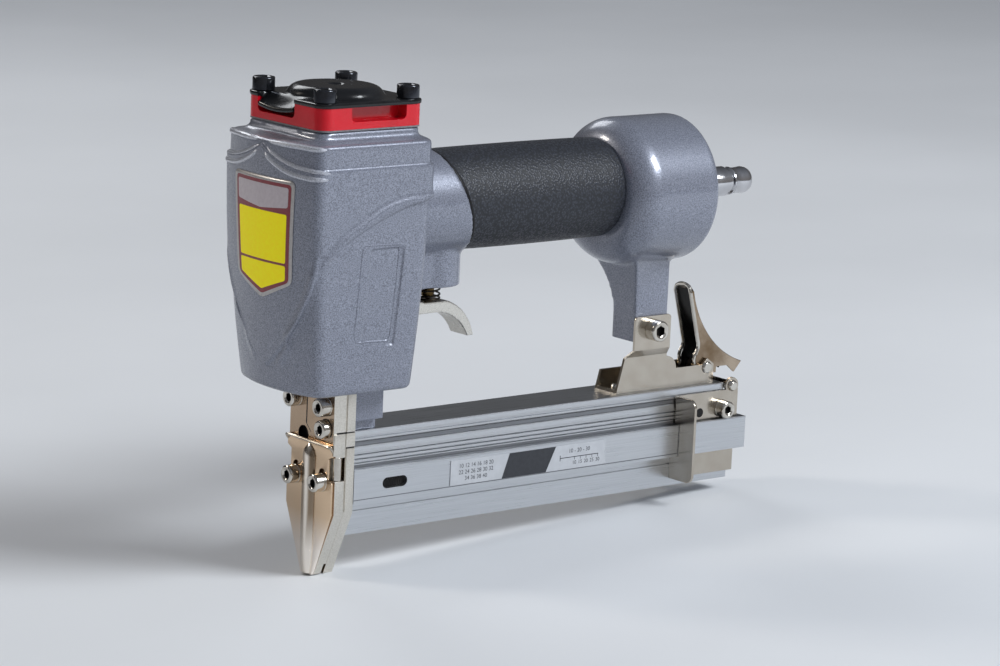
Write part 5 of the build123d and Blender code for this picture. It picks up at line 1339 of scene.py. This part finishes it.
bm = spin_section([(GRIP_FRONT_X + x, r) for x, r in outline], HANDLE_Z, GRIP_TURNS)
for v in bm.verts:
    x, y, z = v.co / MM
    front = slanted_front(z)
    if z < HANDLE_Z and abs(y) < VALVE_BOSS_R:
        front = max(front, VALVE_X + sqrt(VALVE_BOSS_R**2 - y**2))
    v.co.x = (front + (x - GRIP_FRONT_X) * (grip_rear - front) / grip_length) * MM
bmesh.ops.recalc_face_normals(bm, faces=bm.faces[:])
grip = stand_in(bm, "grip_sleeve")
# The lip takes the painted shade line.
second_finish(grip, lip_shade_rubber, on_lip)
print("grip faces", len(grip.data.polygons))

# %% [markdown]
# Springs are round wire wound on a mandrel. A small circle is spun round the axis
# while it climbs: closely for the dead turn at each end, and wider between them.
# Each spring that a joint works is given a mesh of its own.

# %% Springs
WIRE_SIDES = 8
TURN_STEPS = 28
DEAD_TURNS, DEAD_PITCH = 0.9, 2.1
X, Y, Z = 0, 1, 2
SPRINGS = {
    "trigger_spring": (Z, 4.6, 0.38, 6),
    "head_valve_spring": (Z, 9.4, 0.6, 5),
    "pusher_spring": (X, 2.9, 0.4, 28),
    "latch_spring": (Y, 2.9, 0.4, 3),
}
WORKED_BY = {
    "trigger_spring": ("trigger_pull", 3.6),
    "head_valve_spring": ("main_valve_lift", 3.5),
    "pusher_spring": ("pusher_slide", 110.0),
}


def wind(node, low, high, radius, wire_r, turns):
    """A coil spring from one end point to the other, sizes in mm, in a node's place."""
    length = (high - low).length
    dead_climb = DEAD_PITCH * wire_r * DEAD_TURNS
    bm = bmesh.new()
    turn_on = Matrix.Translation((radius, 0, wire_r)) @ Matrix.Rotation(pi / 2, 4, "X")
    bmesh.ops.create_circle(bm, segments=WIRE_SIDES, radius=wire_r, matrix=turn_on)
    last = bm.verts[:] + bm.edges[:]
    stretches = [
        (DEAD_TURNS, dead_climb),
        (turns - 2 * DEAD_TURNS, length - 2 * wire_r - 2 * dead_climb),
        (DEAD_TURNS, dead_climb),
    ]
    for turned, climb in stretches:
        steps = round(turned * TURN_STEPS)
        made = bmesh.ops.spin(
            bm,
            geom=last,
            cent=(0, 0, 0),
            axis=(0, 0, 1),
            dvec=(0, 0, climb / steps),
            angle=2 * pi * turned,
            steps=steps,
        )
        last = made["geom_last"]
    bmesh.ops.holes_fill(bm, edges=bm.edges[:], sides=WIRE_SIDES)
    bmesh.ops.recalc_face_normals(bm, faces=bm.faces[:])
    aim = (high - low).to_track_quat("Z", "Y").to_matrix().to_4x4()
    bm.transform(Matrix.Scale(MM, 4) @ Matrix.Translation(low) @ aim)
    return stand_in(bm, node)


for node, (axis, radius, wire_r, turns) in SPRINGS.items():
    low, high = box_mm(node)
    first, last = (low + high) / 2, (low + high) / 2
    first[axis], last[axis] = low[axis], high[axis]
    spring = wind(node, first, last, radius, wire_r, turns)
    if node in WORKED_BY:
        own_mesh(spring)
print("springs wound:", list(SPRINGS))

# %% [markdown]
# The nose cover is a stamped plate: notched at the sides for the guide pins, with a
# key shaped hole beside each screw. Its outline and holes are filled with triangles,
# and thickness and rounded edges come from modifiers.

# %% Nose cover
COVER_FRONT_X, COVER_REAR_X = -6.3, -5.1
COVER_HALF, COVER_TOP_Z, COVER_TAPER_Z, COVER_TIP_HALF = 14.0, 51.6, 25.3, 3.4
COVER_EDGE, COVER_EDGE_STEPS = 0.35, 3
PIN_NOTCH_LOW, PIN_NOTCH_HIGH, PIN_NOTCH_IN, PIN_NOTCH_SLANT = 37.4, 47.4, 2.4, 1.2
KEY_Y, KEY_Z, KEY_R, KEY_SIDES = 8.2, 40.2, 2.0, 20

notch_y = COVER_HALF - PIN_NOTCH_IN
half_outline = [
    (COVER_HALF, COVER_TOP_Z),
    (COVER_HALF, PIN_NOTCH_HIGH),
    (notch_y, PIN_NOTCH_HIGH - PIN_NOTCH_SLANT),
    (notch_y, PIN_NOTCH_LOW + PIN_NOTCH_SLANT),
    (COVER_HALF, PIN_NOTCH_LOW),
    (COVER_HALF, COVER_TAPER_Z),
    (COVER_TIP_HALF, 0.0),
]
outline = half_outline + [(-y, z) for y, z in reversed(half_outline)]
spokes = [2 * pi * k / KEY_SIDES for k in range(KEY_SIDES)]
bm = bmesh.new()
edges = loop(bm, [(COVER_FRONT_X, y, z) for y, z in outline])
for side, _ in SIDES:
    hole = [(side * KEY_Y + KEY_R * cos(t), KEY_Z + KEY_R * sin(t)) for t in spokes]
    edges += loop(bm, [(COVER_FRONT_X, y, z) for y, z in hole])
bmesh.ops.triangle_fill(bm, edges=edges, use_beauty=True, normal=(-1, 0, 0))
bmesh.ops.dissolve_limit(bm, angle_limit=FLAT, verts=bm.verts[:], edges=bm.edges[:])
cover = stand_in(bm, "nose_cover")
sheet = cover.modifiers.new("sheet", "SOLIDIFY")
sheet.thickness = (COVER_REAR_X - COVER_FRONT_X) * MM
sheet.offset = -1.0
edge = cover.modifiers.new("edge", "BEVEL")
edge.width = COVER_EDGE * MM
edge.segments = COVER_EDGE_STEPS
print("nose cover faces", len(cover.data.polygons))

# %% [markdown]
# A rib pressed down the middle of the nose cover stiffens it. Its section is half an
# ellipse that grows out of the plate below the top and narrows again at the tip. The
# cover's top edge is rolled forward into a lip.

# %% Rib and lip of the nose cover
RIB_BASE_X, RIB_HALF, RIB_RISE, RIB_POINTS = -6.2, 3.7, 1.9, 14
RIB_STATIONS = [
    (50.6, 0.05, 0.1), (49.4, 0.4, 0.5), (47.6, 0.85, 0.9), (45.5, 1.0, 1.0),
    (24.0, 1.0, 1.0), (12.0, 0.95, 1.0), (4.0, 0.8, 0.9), (0.4, 0.65, 0.7),
]
LIP_R, LIP_X = 0.55, -7.3
LIP_SIDE = [
    (COVER_FRONT_X + 0.6, COVER_HALF, COVER_TOP_Z - 2.4),
    (LIP_X + 0.5, COVER_HALF, COVER_TOP_Z - 0.8),
    (LIP_X, COVER_HALF - 1.2, COVER_TOP_Z - 0.3),
    (LIP_X, COVER_HALF / 2, COVER_TOP_Z - 0.2),
]

bm = bmesh.new()
rows = []
for z, wide, high in RIB_STATIONS:
    row = []
    for k in range(RIB_POINTS + 1):
        t = pi * k / RIB_POINTS
        y = -RIB_HALF * wide * cos(t)
        x = RIB_BASE_X - RIB_RISE * high * sin(t)
        row.append(bm.verts.new(Vector((x, y, z)) * MM))
    rows.append(row)
bridge(bm, rows)
bmesh.ops.recalc_face_normals(bm, faces=bm.faces[:])
if sum(f.normal.x for f in bm.faces) > 0:
    bmesh.ops.reverse_faces(bm, faces=bm.faces[:])
# The rib takes its painted highlight and its painted floor reflection.
rib = add_piece(bm, "nose_cover_rib", rib_nickel, "frame")

lip_path = curve_through([(x, -y, z) for x, y, z in LIP_SIDE] + LIP_SIDE[::-1])
bm = sweep([p * MM for p in lip_path], LIP_R, 1)
lip = add_piece(bm, "nose_cover_lip", nickel, "frame")
print("rib and lip faces", len(rib.data.polygons), len(lip.data.polygons))

# %% [markdown]
# The sides of the nose are stepped, because each plate has a raised land where it was
# ground to its width. The gaps between the lands are near black strips of painted shade.
# The lands are thin plates with broken edges. The guide's own land and the gap above it
# are on the left side only. A dark line on the guide's front is a painted shadow beside
# the edge of the raised part.

# %% Lands on the nose
LAND_IN, LAND_OUT, GAP_OUT, LAND_EDGE = 14.2, 15.0, 14.72, 0.1
LANDS = {
    "guide_land": ((-6.2, -1.0), (47.9, 56.2)),
    "rear_land_high": ((-0.4, 3.4), (56.7, 72.6)),
    "rear_land_middle": ((-0.7, 3.5), (51.0, 56.2)),
    "rear_land_low": ((-0.4, 3.4), (26.0, 50.4)),
    "high_gap": ((-4.9, 3.3), (56.0, 56.8)),
    "low_gap": ((-0.5, 3.3), (50.2, 51.2)),
}
LEFT_ONLY = ("guide_land", "high_gap")
LAND_SHADOW_X, LAND_SHADOW_WIDE = -5.13, 0.6
LAND_SHADOW = [(3.9, 72.6), (3.9, 57.5), (3.5, 56.7), (0.7, 54.1)]

lands = []
for label, ((x0, x1), (z0, z1)) in LANDS.items():
    # Gaps are strips of painted shade.
    out, made = (GAP_OUT, shade_black) if label.endswith("gap") else (LAND_OUT, ground_nickel)
    for side, word in SIDES[: 1 if label in LEFT_ONLY else 2]:
        size = Vector((x1 - x0, out - LAND_IN, z1 - z0))
        middle = Vector(((x0 + x1) / 2, side * (LAND_IN + out) / 2, (z0 + z1) / 2))
        bm = bmesh.new()
        bmesh.ops.create_cube(bm, size=MM, matrix=Matrix.Diagonal((*size, 1)))
        bevel(bm, bm.edges[:], LAND_EDGE)
        bmesh.ops.translate(bm, verts=bm.verts[:], vec=middle * MM)
        lands.append(add_piece(bm, f"{label}_{word}", made, "frame"))

# A painted shadow beside the guide's raised part.
bm = bmesh.new()
rungs = []
for y, z in LAND_SHADOW:
    ends = [Vector((LAND_SHADOW_X, y + wide, z)) * MM for wide in (0.0, LAND_SHADOW_WIDE)]
    rungs.append([bm.verts.new(end) for end in ends])
bridge(bm, rungs)
add_piece(bm, "land_shadow", shade_black, "frame")
print("lands on the nose:", len(lands))

# %% [markdown]
# The magazine and the rail are drawn through a die that leaves narrow grooves along
# their sides. Each land between two grooves flares out a little towards its foot, so
# it shades from pale to dark. The section is a list of points, across and up, and the
# strip is that section drawn along the side.

# %% Drawn sections
GROOVE_HALF, GROOVE_LIP = 0.12, 0.14
LAND_FLARE, LAND_TOP, LAND_BROW, LAND_STEPS = 0.075, 0.22, 0.3, 6
STRIP_FRONT_X, STRIP_REAR_X, STRIP_SHORT = 4.1, 166.6, 0.1


def grooved(inside, outside, floor_y, low, high, grooves):
    """Half of a drawn section: out at the top, down past the grooves, in at the foot."""
    wall = GROOVE_HALF + GROOVE_LIP
    tops = [high] + [z - wall for z in grooves]
    feet = [z + wall for z in grooves] + [low]
    brow = LAND_BROW * LAND_TOP
    points = [(inside, high)]
    for top, foot in zip(tops, feet):
        flare = LAND_FLARE * (top - foot)
        points += [(outside - flare - LAND_TOP, top), (outside - flare - brow, top - brow)]
        start = top - LAND_TOP
        for k in range(LAND_STEPS + 1):
            share = k / LAND_STEPS
            points.append((outside - flare * (1 - share**2), start + (foot - start) * share))
        if foot > low:
            points += [(floor_y, foot - GROOVE_LIP), (floor_y, foot - GROOVE_LIP - 2 * GROOVE_HALF)]
    return points + [(inside, low)]


def draw_strip(name, section, side, rear, body, node):
    """A section in mm drawn from the magazine's front to a rear end."""
    bm = bmesh.new()
    front = [bm.verts.new(Vector((STRIP_FRONT_X, side * y, z)) * MM) for y, z in section]
    face = bm.faces.new(front)
    made = bmesh.ops.extrude_face_region(bm, geom=[face])
    moved = [v for v in made["geom"] if isinstance(v, bmesh.types.BMVert)]
    bmesh.ops.translate(bm, verts=moved, vec=((rear - STRIP_FRONT_X) * MM, 0, 0))
    bmesh.ops.recalc_face_normals(bm, faces=bm.faces[:])
    return add_piece(bm, name, drawn_aluminium, body)


# %% [markdown]
# The strips are the same on the left and on the right. Narrow darker strips are painted
# shade under the rail and above the step at the foot. The ledge below the grooves and the
# land just above it are painted darker, a painted dark reflection, and a fine round bar
# along the ledge's edge catches the light.

# %% Drawn strips
MAGAZINE_STRIP = (10.3, 11.45, 10.5, 41.45, 49.6, (46.5, 44.8, 43.3))
RAIL_STRIP = (10.1, 10.75, 10.25, 51.55, 55.45, (52.7,))
# Strips of painted shade under the rail and above the step at the foot.
SHADE_LINES = {"rail_shadow": (10.3, 10.95, 49.75, 51.25), "foot_shadow": (14.3, 14.54, 29.6, 30.0)}
LEDGE_Z, SHADE_BELOW_Z = 41.4, 42.6
LEDGE_NEAR, UP_FACING = 0.1, 0.7
MAGAZINE_HALF = 14.5
EDGE_BAR_R, EDGE_BAR_SINK, EDGE_BAR_STOPS = 0.45, 0.36, (60.0, 130.0)


def in_painted_shade(face):
    """Whether a face of the magazine lies low on its strip or on the ledge below it."""
    z = face.center.z / MM
    on_ledge = face.normal.z > UP_FACING and abs(z - LEDGE_Z) < LEDGE_NEAR
    return on_ledge or LEDGE_Z < z < SHADE_BELOW_Z


rail_end = box_mm("fixed_rail")[1].x - STRIP_SHORT
bar_end = box_mm("slide_magazine")[1].x - STRIP_SHORT
on_magazine = ("magazine", "slide_magazine")
for side, word in SIDES:
    section = grooved(*MAGAZINE_STRIP)
    strip = draw_strip("magazine_strip_" + word, section, side, STRIP_REAR_X, *on_magazine)
    # Painted dark reflection on the ledge and the lowest land.
    second_finish(strip, shaded_aluminium, in_painted_shade)
    draw_strip("rail_strip_" + word, grooved(*RAIL_STRIP), side, rail_end, "frame", "fixed_rail")
    for label, (y0, y1, z0, z1) in SHADE_LINES.items():
        section = [(y0, z0), (y1, z0), (y1, z1), (y0, z1)]
        line = draw_strip(f"{label}_{word}", section, side, STRIP_REAR_X, *on_magazine)
        dress(line, shaded_aluminium)
    bar_y, bar_z = side * (MAGAZINE_HALF - EDGE_BAR_SINK), LEDGE_Z - EDGE_BAR_SINK
    path = [Vector((x, bar_y, bar_z)) * MM for x in (STRIP_FRONT_X, *EDGE_BAR_STOPS, bar_end)]
    bar = sweep(path, EDGE_BAR_R, 0)
    add_piece(bar, "edge_bar_" + word, drawn_aluminium, "magazine")
# Painted dark reflection on the magazine's own ledge and lowest land.
second_finish(rounded["slide_magazine"], shaded_aluminium, in_painted_shade)
print("drawn strips end at", STRIP_REAR_X, "and", round(rail_end, 1))

# %% [markdown]
# The window in the magazine shows the dark inside. A near black liner stands a little
# behind it as painted shade for that inside, with a row of fine ribs like a stick of brads.

# %% Magazine window
WINDOW_FRONT_X, WINDOW_REAR_X, WINDOW_LOW_Z, WINDOW_HIGH_Z = 15.4, 31.0, 31.4, 37.2
LINER_Y, LINER_PITCH, LINER_RISE, LINER_STEPS = -12.6, 1.2, 0.25, 4

bm = bmesh.new()
rows = []
window_long = WINDOW_REAR_X - WINDOW_FRONT_X
steps = round(window_long / LINER_PITCH * LINER_STEPS)
for k in range(steps + 1):
    x = WINDOW_FRONT_X + window_long * k / steps
    y = LINER_Y - LINER_RISE * sin(pi * k / LINER_STEPS) ** 2
    rows.append([bm.verts.new(Vector((x, y, z)) * MM) for z in (WINDOW_HIGH_Z, WINDOW_LOW_Z)])
bridge(bm, rows)
# Painted shade for the inside of the magazine.
liner = add_piece(bm, "window_liner", shade_black, "magazine")
print("window liner faces", len(liner.data.polygons))

# %% [markdown]
# Each tail plate has a small punched hole beside its screw. It shows as a near black disc
# of painted shade that lies just on the plate, at the place where a line from the side
# meets it.

# %% Tail holes
TAIL_HOLE_X, TAIL_HOLE_Z, TAIL_HOLE_R, TAIL_HOLE_SIDES = 180.2, 44.6, 1.9, 24
FROM_SIDE, DISC_LIFT = 40.0, 0.03

for side, word in SIDES:
    bm = bmesh.new()
    bm.from_mesh(rounded[word + "_tail_plate"].data)
    start = Vector((TAIL_HOLE_X, side * FROM_SIDE, TAIL_HOLE_Z)) * MM
    spot, *_ = BVHTree.FromBMesh(bm).ray_cast(start, Vector((0, -side, 0)))
    bm.clear()
    spot.y += side * DISC_LIFT * MM
    place = Matrix.Translation(spot) @ Matrix.Rotation(pi / 2, 4, "X")
    bmesh.ops.create_circle(
        bm, cap_ends=True, segments=TAIL_HOLE_SIDES, radius=TAIL_HOLE_R * MM, matrix=place
    )
    # Painted shade for the hole.
    add_piece(bm, "tail_hole_" + word, shade_black, "magazine")
print("tail holes lie at", round(abs(spot.y) / MM, 2), "mm from the middle")

# %% [markdown]
# The latch is folded from sheet. Its top is cut back to a rounded tongue, and its free
# edges are rolled into a bright bead that runs up one side, over the top and down the
# other. Its inside is painted near black, a painted shade, and its sides are brown, a
# painted reflection of a warm room.

# %% Latch
LATCH_RIM_R, LATCH_RIM_Y, LATCH_WALL = 0.8, 4.5, 0.3
LATCH_RIM = [(183.0, 60.5), (182.6, 65.6), (184.4, 70.2), (183.4, 75.0), (181.3, 83.0), (179.2, 91.0)]
LATCH_LOOP = [(178.7, 92.9, 1.0), (178.7, 95.0, 0.75), (178.7, 95.9, 0.0)]
LATCH_TOP_CUTS = [
    ((178, 0, 95.6), (0, 0, 1)),
    ((178, -4.6, 93.6), (0, -0.75, 0.66)),
    ((178, 4.6, 93.6), (0, 0.75, 0.66)),
]
MIDDLE_FACING, CHANNEL_FACING = -0.5, -0.3


def in_latch(face):
    """Whether a face belongs to the inside of the latch's channel."""
    y = face.center.y / MM
    looks_in = face.normal.y * y < MIDDLE_FACING or face.normal.x < CHANNEL_FACING
    return abs(y) < LATCH_RIM_Y - LATCH_WALL and looks_in


latch = rounded["latch_lever"]
bm = bmesh.new()
bm.from_mesh(latch.data)
for place, away in LATCH_TOP_CUTS:
    bmesh.ops.bisect_plane(
        bm,
        geom=bm.verts[:] + bm.edges[:] + bm.faces[:],
        dist=MERGE_MM * MM,
        plane_co=Vector(place) * MM,
        plane_no=Vector(away),
        clear_outer=True,
    )
    bmesh.ops.holes_fill(bm, edges=[e for e in bm.edges if e.is_boundary], sides=0)
bm.to_mesh(latch.data)
bm.free()
# Painted shade inside the channel.
second_finish(latch, shade_black, in_latch)

up_side = [(x, -LATCH_RIM_Y, z) for x, z in LATCH_RIM]
up_side += [(x, -LATCH_RIM_Y * share, z) for x, z, share in LATCH_LOOP]
rim_points = up_side + [(x, -y, z) for x, y, z in reversed(up_side[:-1])]
bm = sweep([p * MM for p in curve_through(rim_points)], LATCH_RIM_R, 2)
latch_rim = add_piece(bm, "latch_rim", bright_nickel, "latch")
print("latch rim faces", len(latch_rim.data.polygons))

# %% [markdown]
# The air plug is turned from bar: a neck, a collar, a hollow groove that the coupler's
# balls drop into, and a rounded nose with a bore. Its section is spun round its axis.

# %% Air plug
PLUG_SECTION = [
    (157.1, 5.6), (166.1, 5.6), (166.1, 8.0), (174.1, 8.0), (174.6, 5.4), (184.0, 5.4), (185.6, 6.1),
    (196.4, 6.1), (196.9, 5.6), (197.5, 5.0), (198.7, 5.0), (199.2, 5.6), (199.9, 5.7), (200.5, 5.3),
    (203.5, 5.2), (206.5, 5.5), (207.8, 5.3), (208.9, 4.8), (209.6, 4.1), (209.8, 3.5), (209.4, 3.2),
    (157.1, 3.2),
]
PLUG_TURNS = 64

low, high = box_mm("air_plug")
bm = spin_section(PLUG_SECTION, (low.z + high.z) / 2, PLUG_TURNS)
bmesh.ops.recalc_face_normals(bm, faces=bm.faces[:])
plug = stand_in(bm, "air_plug")
print("air plug faces", len(plug.data.polygons))
